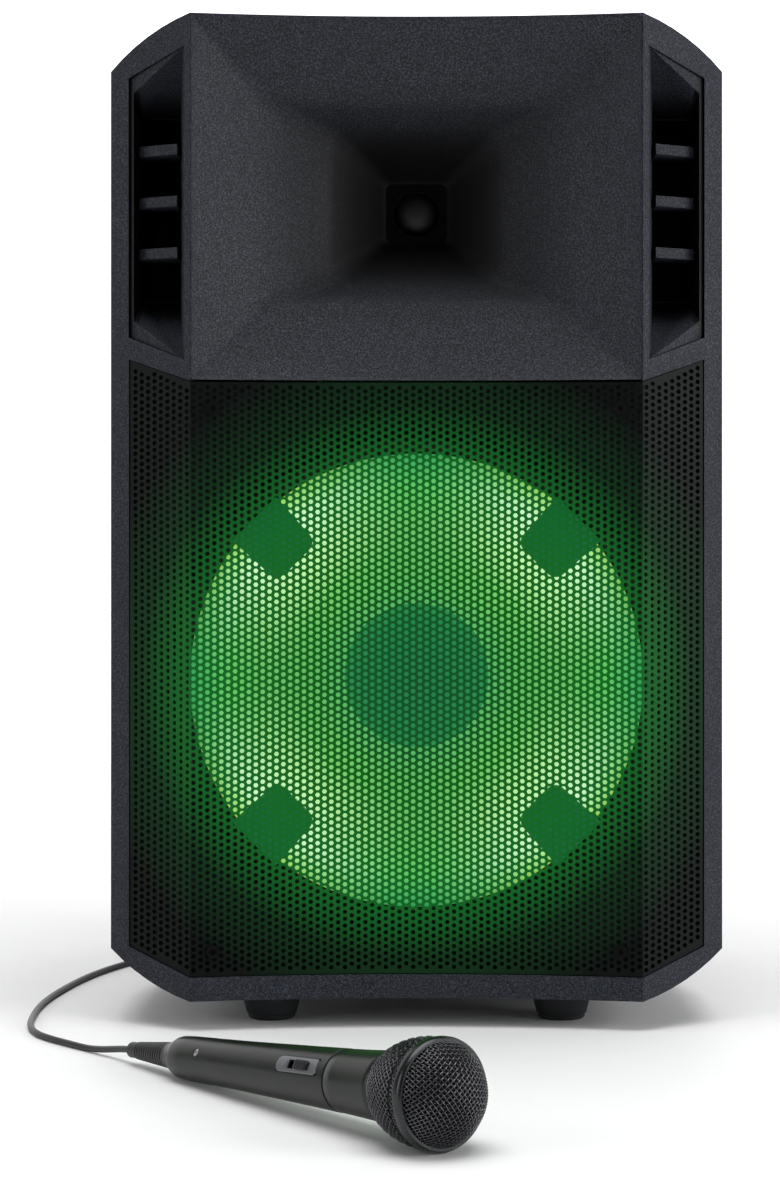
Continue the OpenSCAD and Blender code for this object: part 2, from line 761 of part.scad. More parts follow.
module mic_handle() {
    x = handle_x[1];
    color(black) difference() {
        laid_mic() lathe_x() polygon([[0, handle_x[0]], [6.6, handle_x[0]], [7, 4], [8.9, 7], [9.9, 9.5],
            [tail_r, tail_x], [10.7, 20], [11.6, 60], [12.9, 100], [13.8, 126], [14.4, x],
            [10.5, x], [10.5, x - spigot], [0, x - spigot]]);
        rolled() span([plate_x[0] - plate_gap, -20, -plate_half - plate_gap],
            [plate_x[1] + plate_gap, recess_y, plate_half + plate_gap]);
        rolled() translate([screw_x, -8.1, 0]) rotate([90, 0, 0]) cylinder(r = 2.1, h = 10);
    }
}

module mic_collar() {
    x = handle_x[1];
    color(black) laid_mic() lathe_x() polygon([[0, x - spigot + 0.1], [10.4, x - spigot + 0.1],
        [10.4, x + 0.05], [14.1, x + 0.05], [14.4, x + 1.5], [14.9, 156.5], [16, 173.7],
        [16.2, head_x - 1.2], [15.7, head_x - 0.1], [0, head_x - 0.1]]);
}

// The mesh head: a cone that swells into a ball.
mesh_r = head_r;
mesh_t = 1.2;

function ball_arc(r, n) = [for (i = [0:n]) [r * cos(90 * i / n), ball_x + r * sin(90 * i / n)]];

module mic_grille() {
    steps = 12;
    inner = ball_arc(mesh_r - mesh_t, steps);
    color([0.12, 0.12, 0.13]) laid_mic() lathe_x()
        polygon(concat([[15, head_x], [16.5, head_x], [21, 186], [23.5, 195]], ball_arc(mesh_r, steps),
            [for (i = [steps:-1:0]) inner[i]], [[22.1, 195], [19.6, 186]]));
}

// The band stands proud of the ball a little in front of its middle.
band_w = 5.5;
band_rise = 1.3;
band_gap = 0.1;
function ball_r_at(x) = sqrt(mesh_r * mesh_r - pow(x - ball_x, 2));

module mic_grille_band() {
    x0 = mic_l - band_w / 2;
    x1 = mic_l + band_w / 2;
    r = ball_r_at(mic_l) + band_rise;
    steps = 6;
    bore = [for (i = [steps:-1:0]) let (x = x0 + band_w * i / steps) [ball_r_at(x) + band_gap, x]];
    color(silver) laid_mic() lathe_x() polygon(concat(bore, [[r, x0 + 0.5], [r, x1 - 1],
        [ball_r_at(x1) + 1, x1]]));
}

module mic_capsule() {
    color(steel) laid_mic() {
        translate([head_x, 0, 0]) rotate([0, 90, 0]) cylinder(r = 9, h = 20.1);
        translate([head_x + 20, 0, 0]) rotate([0, 90, 0]) cylinder(r = 14, h = 9);
    }
}

module mic_switch_plate() {
    color(silver) rolled() difference() {
        intersection() {
            span([plate_x[0], -15, -plate_half], [plate_x[1], recess_y, plate_half]);
            lathe_x() polygon([[0, 100], [13, 100], [14.55, 142], [0, 142]]);
        }
        span([slot_x[0], -16, -2.5], [slot_x[1], recess_y - 1.1, 2.5]);
    }
}

// The slider rests at the forward end of its slot.
module mic_switch_slider() {
    end = slot_x[1] - 0.3;
    color(black) rolled() span([end - slider_l, -15.2, -2.2], [end, recess_y - 1.3, 2.2]);
}

module mic_plate_screw() {
    color(steel) rolled() translate([screw_x, -8.2, 0]) rotate([90, 0, 0])
        difference() {
            cylinder(r = 1.9, h = 2.4);
            translate([0, 0, 1.6]) cylinder(r = 0.9, h = 2, $fn = 6);
        }
}

// Ribbed strain relief that tapers away from the tail.
boot_l = 37;
module mic_cable_boot() {
    color(black) laid_mic() translate([handle_x[0] - 0.05, 0, 0]) rotate([0, 180, 0]) lathe_x()
        polygon(concat([[0, 0], [6.4, 0]],
            [for (i = [0:12]) for (p = [[6.4, 1.4], [5.75, 1.6], [5.75, 2.1]]) p + i * [-0.17, 2.3]],
            [[3.9, 31.4], [3.9, boot_l - 0.8], [3.4, boot_l], [0, boot_l]]));
}

// ---- microphone cord: along the floor to a coil behind the cabinet, then up to its plug ----
cord_r = 1.7;
coil_at = [10, 196];
coil_mid_r = 21;
coil_half = 7;
cord_floor_route = [[-142.4, -228.9, -9.0], [-147.2, -222.8, -9.9], [-153.6, -214.9, -11.5],
    [-160.4, -206.8, -13.1], [-168.6, -197.4, -14.2], [-179.8, -184.8, -14.2], [-191, -171, -14.2],
    [-199, -158, -14.2], [-205, -139, -14.2], [-208, -112, -14.2], [-208, -66, -14.2], [-201, -14, -14.2],
    [-190, 32, -14.2], [-176, 68, -14.2], [-158, 104, -14.2], [-136, 136, -14.2],
    [-108, 158, -14.2], [-76, 168, -14.2], [-44, 170, -14.2], [-18, 170, -14.2], [2, 170, -14.2]];
cord_rear_route = [[-56, 197.4, 290], [-56, 203, 289.4], [-56, 210, 286], [-56, 215, 279],
    [-56, 218, 269], [-56, 219, 255], [-56, 219, 200], [-56, 219, 140], [-56, 219, 80],
    [-56, 219, 30], [-56, 220, 14], [-53, 220, 1], [-47, 221, -8], [-38, 222, -13],
    [-27, 222, -14.2], [-14, 222, -11.4], [2, 222, -5.6]];

function unit(v) = v / norm(v);
// Point at t between points i and i + 1 of a smooth curve through all of them.
function on_curve(p, i, t) =
    let (a = p[max(i - 1, 0)], b = p[i], c = p[i + 1], d = p[min(i + 2, len(p) - 1)])
    0.5 * (2 * b + (c - a) * t + (2 * a - 5 * b + 4 * c - d) * t * t + (3 * b - a - 3 * c + d) * t * t * t);
function smooth(p, k) = concat(
    [for (i = [0:len(p) - 2]) for (j = [0:k - 1]) on_curve(p, i, j / k)], [p[len(p) - 1]]);
function heading(p, i) = unit(p[min(i + 1, len(p) - 1)] - p[max(i - 1, 0)]);

// Eight-sided tube of radius r along points p; across is never in line with the tube.
module cord_tube(p, r, across) {
    loft([for (i = [0:len(p) - 1])
        let (t = heading(p, i), u = unit(cross(across, t)), v = cross(t, u))
        [for (a = [22.5:45:337.5]) p[i] + r * (cos(a) * u + sin(a) * v)]]);
}

module mic_cord() {
    color(black) cord_tube(smooth(cord_floor_route, 2), cord_r, [0, 0, 1]);
}

module mic_cord_rear() {
    color(black) cord_tube(cord_rear_route, cord_r, [1, -1, 1]);
}

module mic_cord_coil() {
    color(black) translate([coil_at[0], coil_at[1], floor_z + 0.1]) rotate_extrude($fn = 48)
        translate([coil_mid_r - coil_half, 0]) square([2 * coil_half, 2 * coil_half]);
}

module mic_plug() {
    color(black) on_panel(mic_jack[0], mic_jack[1]) rotate_extrude()
        polygon([[0, -22], [2.4, -21], [3.1, -18.5], [2.3, -17], [3.15, -15.5], [3.15, 2.6],
            [6, 2.6], [6.4, 4], [6.4, 26], [5.2, 29], [4.4, 34], [2.3, 53], [0, 53]]);
}

front_housing();
rear_housing();
housing_screws();
grille();
grille_screws();
horn_waveguide();
vent_left();
vent_right();
carry_handle();
handle_screws();
foot_front_left();
foot_front_right();
foot_rear_left();
foot_rear_right();
pole_socket();
woofer_basket();
woofer_screws();
woofer_surround();
woofer_cone();
dust_cap();
voice_coil();
spider();
woofer_top_plate();
woofer_magnet();
woofer_yoke();
led_ring();
led_pods();
tweeter_body();
tweeter_diaphragm();
tweeter_screws();
amplifier_board();
heat_sink();
power_supply();
battery_pack();
control_panel();
panel_screws();
volume_knob();
mic_volume_knob();
echo_knob();
previous_button();
play_button();
next_button();
light_button();
power_rocker();
jack_sockets();
usb_port();
power_inlet();
mic_handle();
mic_collar();
mic_grille();
mic_grille_band();
mic_capsule();
mic_switch_plate();
mic_switch_slider();
mic_plate_screw();
mic_cable_boot();
mic_cord();
mic_cord_rear();
mic_cord_coil();
mic_plug();
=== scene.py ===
"""Looks of the party speaker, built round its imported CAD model."""

import json
import math

import bmesh
import bpy
import numpy as np
from mathutils import Matrix, Vector


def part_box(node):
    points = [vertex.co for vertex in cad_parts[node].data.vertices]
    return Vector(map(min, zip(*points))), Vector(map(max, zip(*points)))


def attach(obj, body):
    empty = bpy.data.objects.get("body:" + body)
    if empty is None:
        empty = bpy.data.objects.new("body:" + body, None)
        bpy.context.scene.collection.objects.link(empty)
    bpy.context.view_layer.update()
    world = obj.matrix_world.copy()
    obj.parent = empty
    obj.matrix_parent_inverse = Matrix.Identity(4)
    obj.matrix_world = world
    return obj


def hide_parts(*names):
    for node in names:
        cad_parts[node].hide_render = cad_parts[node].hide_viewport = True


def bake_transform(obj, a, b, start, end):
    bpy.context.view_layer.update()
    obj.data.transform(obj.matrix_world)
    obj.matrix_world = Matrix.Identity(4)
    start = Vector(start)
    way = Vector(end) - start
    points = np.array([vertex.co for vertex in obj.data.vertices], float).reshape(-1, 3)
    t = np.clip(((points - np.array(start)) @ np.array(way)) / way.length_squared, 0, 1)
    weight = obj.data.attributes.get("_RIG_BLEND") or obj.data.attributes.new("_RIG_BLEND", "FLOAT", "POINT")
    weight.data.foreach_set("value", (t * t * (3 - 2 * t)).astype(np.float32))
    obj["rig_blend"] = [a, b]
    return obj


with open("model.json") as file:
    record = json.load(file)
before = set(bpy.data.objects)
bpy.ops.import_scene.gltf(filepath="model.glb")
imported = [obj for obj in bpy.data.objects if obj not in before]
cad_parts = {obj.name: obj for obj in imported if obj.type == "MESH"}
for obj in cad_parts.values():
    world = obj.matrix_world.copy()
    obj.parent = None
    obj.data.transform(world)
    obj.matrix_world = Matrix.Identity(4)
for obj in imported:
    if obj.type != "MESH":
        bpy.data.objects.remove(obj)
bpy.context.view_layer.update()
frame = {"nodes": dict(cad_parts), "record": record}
NODES = frame["nodes"]
MM = 0.001

# ---------------------------------------------------------------- places, from the frame
WOOFER_Z = sum(c.z if hasattr(c, "z") else c[2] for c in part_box("dust_cap")) / 2
HORN_Z = sum(c[2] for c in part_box("tweeter_diaphragm")) / 2
FLOOR_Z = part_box("foot_front_left")[0][2]
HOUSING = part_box("front_housing")
FRONT_Y = HOUSING[0][1]
HALF_W = HOUSING[1][0]
RIDGE_X = 120 * MM          # the vertical ridges between the dished front and its facets
DISH = 12 * MM
FACET_FALL = 29 * MM
DISH_R = (RIDGE_X**2 + DISH**2) / (2 * DISH)


def front_at(x):
    """Depth of the cabinet's front surface at x."""
    if abs(x) <= RIDGE_X:
        return FRONT_Y - math.sqrt(DISH_R**2 - RIDGE_X**2) + math.sqrt(DISH_R**2 - x * x)
    return FRONT_Y + (abs(x) - RIDGE_X) * FACET_FALL / (HALF_W - RIDGE_X)


# ---------------------------------------------------------------- camera
CAMERA_Y = -1.628
CAMERA_Z = 0.2608
LENS_MM = 84.3
CAMERA_SHIFT = (-0.0222, -0.074)


def add_camera():
    data = bpy.data.cameras.new("camera")
    data.lens = LENS_MM
    data.sensor_width = 36
    data.shift_x, data.shift_y = CAMERA_SHIFT
    data.clip_end = 50
    camera = bpy.data.objects.new("camera", data)
    camera.location = (0, CAMERA_Y, CAMERA_Z)
    camera.rotation_euler = (math.pi / 2, 0, 0)
    bpy.context.scene.collection.objects.link(camera)
    bpy.context.scene.camera = camera


add_camera()


# ---------------------------------------------------------------- mesh helpers
def new_object(name, verts, faces, smooth=True):
    mesh = bpy.data.meshes.new(name)
    mesh.from_pydata([tuple(v) for v in verts], [], faces)
    mesh.validate()
    mesh.update()
    if smooth:
        mesh.shade_smooth()
    obj = bpy.data.objects.new(name, mesh)
    bpy.context.scene.collection.objects.link(obj)
    return obj


def fix_normals(obj):
    bm = bmesh.new()
    bm.from_mesh(obj.data)
    bmesh.ops.recalc_face_normals(bm, faces=bm.faces)
    bm.to_mesh(obj.data)
    bm.free()
    obj.data.update()


def sharp_by_angle(obj, degrees):
    """Smooth shading, but for edges that turn by more than this."""
    obj.data.shade_smooth()
    obj.data.set_sharp_from_angle(angle=math.radians(degrees))


def apply_modifier(obj, kind, **settings):
    modifier = obj.modifiers.new("m", kind)
    for key, value in settings.items():
        setattr(modifier, key, value)
    with bpy.context.temp_override(object=obj, active_object=obj, selected_objects=[obj]):
        bpy.ops.object.modifier_apply(modifier="m")


def solidify(obj, thickness, outward):
    """Thickens a sheet away from the side that faces outward."""
    bm = bmesh.new()
    bm.from_mesh(obj.data)
    bmesh.ops.recalc_face_normals(bm, faces=bm.faces)
    bm.normal_update()
    if sum(f.normal.dot(outward) for f in bm.faces) < 0:
        bmesh.ops.reverse_faces(bm, faces=bm.faces)
    bm.to_mesh(obj.data)
    bm.free()
    apply_modifier(obj, "SOLIDIFY", thickness=thickness, offset=-1)


def bevel_edges(obj, width, min_angle, segments=2):
    bm = bmesh.new()
    bm.from_mesh(obj.data)
    bm.normal_update()
    edges = [e for e in bm.edges if e.is_manifold and e.calc_face_angle(0) > math.radians(min_angle)]
    bmesh.ops.bevel(bm, geom=edges, offset=width, offset_type="OFFSET", segments=segments, profile=0.5,
                    affect="EDGES", clamp_overlap=True)
    bm.to_mesh(obj.data)
    bm.free()
    sharp_by_angle(obj, 35)


def skin(name, rings, closed=False, caps=True):
    """Quads through rings of equal numbers of points; a closed skin joins its last ring to its first."""
    n = len(rings[0])
    verts = [p for ring in rings for p in ring]
    faces = []
    count = len(rings)
    for k in range(count if closed else count - 1):
        for i in range(n):
            a, b = k * n + i, k * n + (i + 1) % n
            c, d = ((k + 1) % count) * n + (i + 1) % n, ((k + 1) % count) * n + i
            faces.append((a, b, c, d))
    if caps and not closed:
        faces.append(tuple(range(n))[::-1])
        faces.append(tuple((count - 1) * n + i for i in range(n)))
    obj = new_object(name, verts, faces)
    fix_normals(obj)
    return obj


def lathe(name, profile, place, steps=96, closed=False):
    """Turns profile, a list of (radius, height), about local Z, then puts it in place, a matrix."""
    rings = []
    for r, h in profile:
        r = max(r, 0.00001)
        rings.append([
            place @ Vector((r * math.cos(t), r * math.sin(t), h))
            for t in (2 * math.pi * i / steps for i in range(steps))
        ])
    return skin(name, rings, closed=closed)


def unit_frame(tangent, hint):
    side = tangent.cross(hint)
    if side.length < 1e-6:
        side = tangent.orthogonal()
    side.normalize()
    return side, tangent.cross(side).normalized()


def tube(name, path, radius, sides=12):
    """A round tube along path, its section carried along without twist."""
    points = [Vector(p) for p in path]
    radii = radius if isinstance(radius, list) else [radius] * len(points)
    tangents = [
        (points[min(i + 1, len(points) - 1)] - points[max(i - 1, 0)]).normalized() for i in range(len(points))
    ]
    side, up = unit_frame(tangents[0], Vector((0, 0, 1)))
    rings = []
    for point, tangent, r in zip(points, tangents, radii):
        side = (side - tangent * side.dot(tangent)).normalized()
        up = tangent.cross(side)
        rings.append([
            point + r * (math.cos(t) * side + math.sin(t) * up)
            for t in (2 * math.pi * k / sides for k in range(sides))
        ])
    return skin(name, rings)


def catmull(points, per_span):
    """A smooth curve through points, with per_span steps in each span."""
    out = []
    last = len(points) - 1
    for i in range(last):
        a, b, c, d = (Vector(points[j]) for j in (max(i - 1, 0), i, i + 1, min(i + 2, last)))
        for k in range(per_span):
            t = k / per_span
            out.append(0.5 * (2 * b + (c - a) * t + (2 * a - 5 * b + 4 * c - d) * t**2
                              + (3 * b - a - 3 * c + d) * t**3))
    out.append(Vector(points[last]))
    return out


# ---------------------------------------------------------------- microphone's frame
# The microphone lies on the floor, its own +X running from its tail to the middle of its head.
BALL_AT = 203.6 * MM            # from the tail to the middle of the head
TAIL_R = 10.3 * MM
TAIL_X = 11.4 * MM              # where the tail rests on the floor
HEAD_R = 24.3 * MM
MIC_TURN = math.radians(-51.7)
MIC_TILT = math.asin((HEAD_R - TAIL_R) / (BALL_AT - TAIL_X))
MIC_TAIL = Vector((-119.2 * MM, -258.3 * MM, FLOOR_Z + TAIL_R - TAIL_X * math.sin(MIC_TILT) + 0.3 * MM))
MIC = (
    Matrix.Translation(MIC_TAIL)
    @ Matrix.Rotation(MIC_TURN, 4, "Z")
    @ Matrix.Rotation(-MIC_TILT, 4, "Y")
)
ALONG_MIC = MIC @ Matrix.Rotation(math.pi / 2, 4, "Y")    # local +Z runs along the microphone

# ---------------------------------------------------------------- cord
CORD_R = 1.7 * MM
FLOOR_ROUTE = [(x * MM, y * MM, z * MM) for x, y, z in [
    (-142.4, -228.9, -9.0), (-147.2, -222.8, -9.9), (-153.6, -214.9, -11.5), (-160.4, -206.8, -13.1),
    (-168.6, -197.4, -14.2), (-179.8, -184.8, -14.2), (-191, -171, -14.2), (-199, -158, -14.2),
    (-205, -139, -14.2), (-208, -112, -14.2), (-208, -66, -14.2), (-201, -14, -14.2),
    (-190, 32, -14.2), (-176, 68, -14.2), (-158, 104, -14.2), (-136, 136, -14.2),
    (-108, 158, -14.2), (-76, 168, -14.2), (-44, 170, -14.2), (-18, 170, -14.2)]]
REAR_ROUTE = [(x * MM, y * MM, z * MM) for x, y, z in [
    (-27, 222, -14.2), (-38, 222, -13), (-47, 221, -8), (-53, 220, 1), (-56, 220, 14),
    (-56, 219, 30), (-56, 219, 80), (-56, 219, 140), (-56, 219, 200), (-56, 219, 255),
    (-56, 218, 269), (-56, 215, 279), (-56, 210, 286), (-56, 203, 289.4), (-56, 197.4, 290)]]
COIL_AT = Vector((10 * MM, 196 * MM, 0))
COIL_MID_R = 21 * MM
COIL_ROWS = 4
COIL_LAYERS = 4
POINTS_A_TURN = 24


def coil_points(turns):
    """Turns wound outside to inside in each layer and back out in the next, from the floor up."""
    step = 2 * CORD_R * 1.01
    outer = COIL_MID_R + (COIL_ROWS - 1) / 2 * step
    low = FLOOR_Z + CORD_R + 0.1 * MM
    points = []
    for i in range(int(turns * POINTS_A_TURN) + 1):
        turn = i / POINTS_A_TURN
        layer = int(turn // COIL_ROWS)
        row = turn - layer * COIL_ROWS
        across = min(row, COIL_ROWS - 1)
        climb = max(0.0, row - (COIL_ROWS - 1))
        inward = across if layer % 2 == 0 else COIL_ROWS - 1 - across
        angle = -math.pi / 2 + 2 * math.pi * turn
        r = outer - inward * step
        height = low + (layer + climb) * step
        points.append(COIL_AT + Vector((r * math.cos(angle), r * math.sin(angle), height)))
    return points


def build_cord():
    start, end = catmull(FLOOR_ROUTE, 6), catmull(REAR_ROUTE, 6)
    turns = COIL_ROWS * COIL_LAYERS - 0.5 - 1 / POINTS_A_TURN
    coil = coil_points(turns)
    lead_in = catmull([start[-2], start[-1], coil[0], coil[1]], 4)[5:8]
    lead_out = catmull([coil[-2], coil[-1], end[0], end[1]], 8)[9:16]
    path = start + lead_in + coil + lead_out + end
    cord = tube("mic_cord_skin", path, CORD_R, 12)
    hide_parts("mic_cord", "mic_cord_rear", "mic_cord_coil")
    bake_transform(cord, "cabinet", "microphone", start=FLOOR_ROUTE[9], end=FLOOR_ROUTE[1])
    return cord


cord = build_cord()


# ---------------------------------------------------------------- materials
class Nodes:
    """A short way to write a material's nodes."""

    def __init__(self, name):
        self.material = bpy.data.materials.new(name)
        self.material.use_nodes = True
        self.tree = self.material.node_tree
        self.shader = self.tree.nodes["Principled BSDF"]
        self.coords = self.tree.nodes.new("ShaderNodeTexCoord").outputs["Object"]

    def add(self, kind, **sockets):
        node = self.tree.nodes.new("ShaderNode" + kind)
        for key, value in sockets.items():
            self.put(node, key, value)
        return node

    def put(self, node, key, value):
        socket = node.inputs[int(key[1:])] if key[0] == "i" and key[1:].isdigit() else node.inputs[key]
        if isinstance(value, bpy.types.NodeSocket):
            self.tree.links.new(value, socket)
        else:
            socket.default_value = value

    def noise(self, scale, detail=2.0, rough=0.5, at=None):
        node = self.add("TexNoise", Vector=at or self.coords, Scale=scale, Detail=detail, Roughness=rough)
        return node.outputs["Fac"]

    def ramp(self, fac, *stops):
        node = self.add("ValToRGB", Fac=fac)
        elements = node.color_ramp.elements
        while len(elements) < len(stops):
            elements.new(0.5)
        for element, (place, colour) in zip(elements, stops):
            element.position = place
            element.color = (*colour, 1) if hasattr(colour, "__len__") else (colour, colour, colour, 1)
        return node.outputs["Color"]

    def span(self, value, low, high, out_low=0.0, out_high=1.0, smooth=False):
        node = self.add("MapRange", Value=value)
        if smooth:
            node.interpolation_type = "SMOOTHSTEP"
        for key, v in (("From Min", low), ("From Max", high), ("To Min", out_low), ("To Max", out_high)):
            node.inputs[key].default_value = v
        return node.outputs["Result"]

    def math(self, operation, a, b=0.0):
        node = self.tree.nodes.new("ShaderNodeMath")
        node.operation = operation
        self.put(node, "i0", a)
        self.put(node, "i1", b)
        return node.outputs[0]

    def mix(self, fac, a, b):
        node = self.tree.nodes.new("ShaderNodeMix")
        node.data_type = "RGBA"
        for socket, value in ((node.inputs[0], fac), (node.inputs[6], a), (node.inputs[7], b)):
            if isinstance(value, bpy.types.NodeSocket):
                self.tree.links.new(value, socket)
            elif hasattr(value, "__len__"):
                socket.default_value = (*value[:3], 1)
            else:
                socket.default_value = value
        return node.outputs[2]

    def bump(self, height, strength, distance, normal=None):
        node = self.add("Bump", Height=height, Strength=strength, Distance=distance)
        if normal:
            self.put(node, "Normal", normal)
        return node.outputs["Normal"]

    def radius(self, centre):
        """Distance from the woofer's axis at height centre, in metres, and the x and z offsets."""
        parts = self.add("SeparateXYZ", Vector=self.coords)
        x, z = parts.outputs["X"], self.math("SUBTRACT", parts.outputs["Z"], centre)
        r = self.math("SQRT", self.math("ADD", self.math("MULTIPLY", x, x), self.math("MULTIPLY", z, z)))
        return r, x, z

    def set(self, **sockets):
        for key, value in sockets.items():
            self.put(self.shader, key.replace("_", " "), value)
        return self.material


def shade(colour, factor):
    return tuple(min(1.0, c * factor) for c in colour)


def plastic(name, colour, rough=0.5, grain=1100.0, depth=0.00012, strength=0.35, speckle=0.25):
    """Moulded plastic: spark-eroded grain, slight cloudiness and a few rubbed spots."""
    n = Nodes(name)
    grain_fac = n.noise(grain, 3.0, 0.6)
    cloud = n.noise(14.0, 3.0, 0.6)
    fleck = n.ramp(grain_fac, (0.35, shade(colour, 1 - speckle)), (0.65, shade(colour, 1 + speckle)))
    tint = n.mix(n.span(cloud, 0.3, 0.7, 0.0, 0.35), fleck, shade(colour, 1.25))
    n.set(Base_Color=tint, Roughness=n.span(cloud, 0.3, 0.7, rough - 0.05, rough + 0.07),
          Normal=n.bump(grain_fac, strength, depth))
    n.shader.inputs["Specular IOR Level"].default_value = 0.45
    return n.material


def cabinet_plastic(name, colour, depths, level=0.2, dark_beyond=None):
    """Grained black plastic; deep inside its hollows, which light hardly reaches, it is darker.

    dark_beyond is (x, y): past both, on either side, the wall gets no light at all."""
    n = Nodes(name)
    parts = n.add("SeparateXYZ", Vector=n.coords)
    grain = n.noise(1150.0, 2.0, 0.55)
    coarse = n.noise(480.0, 2.0, 0.5)
    cloud = n.noise(11.0, 3.0, 0.6)
    fleck = n.ramp(grain, (0.38, shade(colour, 0.25)), (0.52, colour), (0.68, shade(colour, 2.8)))
    tint = n.mix(n.span(cloud, 0.3, 0.7, 0.0, 0.3), fleck, shade(colour, 1.25))
    depth = n.ramp(n.span(parts.outputs["Y"], -0.145, -0.045), *depths)
    if dark_beyond:
        aside = n.span(n.math("ABSOLUTE", parts.outputs["X"]), dark_beyond[0] - 0.0005, dark_beyond[0])
        behind = n.span(parts.outputs["Y"], dark_beyond[1] - 0.003, dark_beyond[1])
        depth = n.mix(n.math("MULTIPLY", aside, behind), depth, (0, 0, 0))
    dark = n.add("Mix", Factor=1.0)
    dark.data_type, dark.blend_type = "RGBA", "MULTIPLY"
    n.put(dark, "i6", tint)
    n.put(dark, "i7", depth)
    height = n.math("ADD", grain, n.math("MULTIPLY", coarse, 0.5))
    n.set(Base_Color=dark.outputs[2], Roughness=n.span(cloud, 0.3, 0.7, 0.52, 0.64),
          Normal=n.bump(height, 0.55, 0.00045))
    n.shader.inputs["Specular IOR Level"].default_value = level
    return n.material


def metal(name, colour, rough=0.3, brushed=True):
    n = Nodes(name)
    stretched = n.add("Mapping", Vector=n.coords, Scale=(40, 900, 40) if brushed else (300, 300, 300))
    streak = n.noise(6.0, 4.0, 0.7, stretched.outputs["Vector"])
    n.set(Base_Color=n.ramp(streak, (0.3, shade(colour, 0.82)), (0.7, shade(colour, 1.08))),
          Roughness=n.span(streak, 0.3, 0.7, rough - 0.06, rough + 0.1), Normal=n.bump(streak, 0.15, 0.00005))
    n.shader.inputs["Metallic"].default_value = 1.0
    return n.material


def rubber(name, colour, rough=0.75):
    return plastic(name, colour, rough, grain=1800.0, depth=0.00008, strength=0.3, speckle=0.15)


def gloss(name, colour, rough=0.22):
    n = Nodes(name)
    swirl = n.noise(60.0, 4.0, 0.6)
    n.set(Base_Color=n.ramp(swirl, (0.3, shade(colour, 0.9)), (0.7, shade(colour, 1.12))),
          Roughness=n.span(swirl, 0.3, 0.7, rough, rough + 0.08), Normal=n.bump(swirl, 0.05, 0.0001))
    n.shader.inputs["Coat Weight"].default_value = 0.3
    n.shader.inputs["Coat Roughness"].default_value = 0.15
    return n.material


def satin(name, colour, rough):
    """Lacquered metal: a smooth sheen with only a trace of grain."""
    n = Nodes(name)
    cloud = n.noise(25.0, 3.0, 0.6)
    grain = n.noise(1600.0, 2.0, 0.5)
    n.set(Base_Color=n.ramp(cloud, (0.3, shade(colour, 0.85)), (0.7, shade(colour, 1.15))),
          Roughness=n.span(cloud, 0.3, 0.7, rough - 0.02, rough + 0.04), Normal=n.bump(grain, 0.06, 0.00004))
    n.shader.inputs["Specular IOR Level"].default_value = 0.3
    return n.material


def painted(name, colour, rough=0.4):
    """Powder coat: a soft orange peel."""
    n = Nodes(name)
    peel = n.noise(700.0, 2.0, 0.5)
    cloud = n.noise(20.0)
    n.set(Base_Color=n.ramp(cloud, (0.3, shade(colour, 0.85)), (0.7, shade(colour, 1.15))),
          Roughness=n.span(peel, 0.3, 0.7, rough - 0.05, rough + 0.08), Normal=n.bump(peel, 0.25, 0.00008))
    return n.material


def flat_black(name, colour):
    """Plastic in deep shade: almost no gloss."""
    material = painted(name, colour, 0.7)
    material.node_tree.nodes["Principled BSDF"].inputs["Specular IOR Level"].default_value = 0.05
    return material


def lobes(n, x, z, r):
    """1 on the diagonals and 0 on the upright and level lines through the axis."""
    sine = n.math("DIVIDE", n.math("MULTIPLY", n.math("MULTIPLY", x, z), 2.0),
                  n.math("MAXIMUM", n.math("MULTIPLY", r, r), 1e-6))
    return n.math("MULTIPLY", sine, sine)


def lit_cone(name):
    """Coated pulp that the lights flood: near white beside the light modules, deeper green between them."""
    n = Nodes(name)
    r, x, z = n.radius(WOOFER_Z)
    fibre = n.noise(900.0, 3.0, 0.7)
    diagonal = n.ramp(n.span(r, 0.040, 0.124), (0.0, (0.10, 0.47, 0.12)), (0.3, (0.17, 0.58, 0.13)),
                      (0.52, (0.50, 0.88, 0.36)), (0.80, (0.66, 0.98, 0.62)), (0.9, (0.42, 0.84, 0.26)),
                      (1.0, (0.25, 0.55, 0.05)))
    upright = n.ramp(n.span(r, 0.040, 0.124), (0.0, (0.09, 0.45, 0.11)), (0.5, (0.15, 0.50, 0.13)),
                     (0.75, (0.11, 0.54, 0.11)), (0.93, (0.05, 0.40, 0.11)), (1.0, (0.02, 0.22, 0.06)))
    glow = n.mix(lobes(n, x, z, r), upright, diagonal)
    n.set(Base_Color=n.ramp(fibre, (0.3, (0.02, 0.03, 0.025)), (0.7, (0.045, 0.055, 0.05))),
          Roughness=0.7, Normal=n.bump(fibre, 0.5, 0.0002), Emission_Color=glow)
    n.shader.inputs["Emission Strength"].default_value = 1.0
    return n.material


def lit_cap(name):
    n = Nodes(name)
    r, _, _ = n.radius(WOOFER_Z)
    fibre = n.noise(700.0, 3.0, 0.6)
    glow = n.ramp(n.span(r, 0.0, 0.040), (0.0, (0.010, 0.19, 0.066)), (0.8, (0.010, 0.21, 0.070)),
                  (1.0, (0.018, 0.25, 0.072)))
    n.set(Base_Color=n.ramp(fibre, (0.3, (0.02, 0.03, 0.03)), (0.7, (0.04, 0.05, 0.05))),
          Roughness=0.5, Normal=n.bump(fibre, 0.3, 0.0001), Emission_Color=glow)
    n.shader.inputs["Emission Strength"].default_value = 1.0
    return n.material


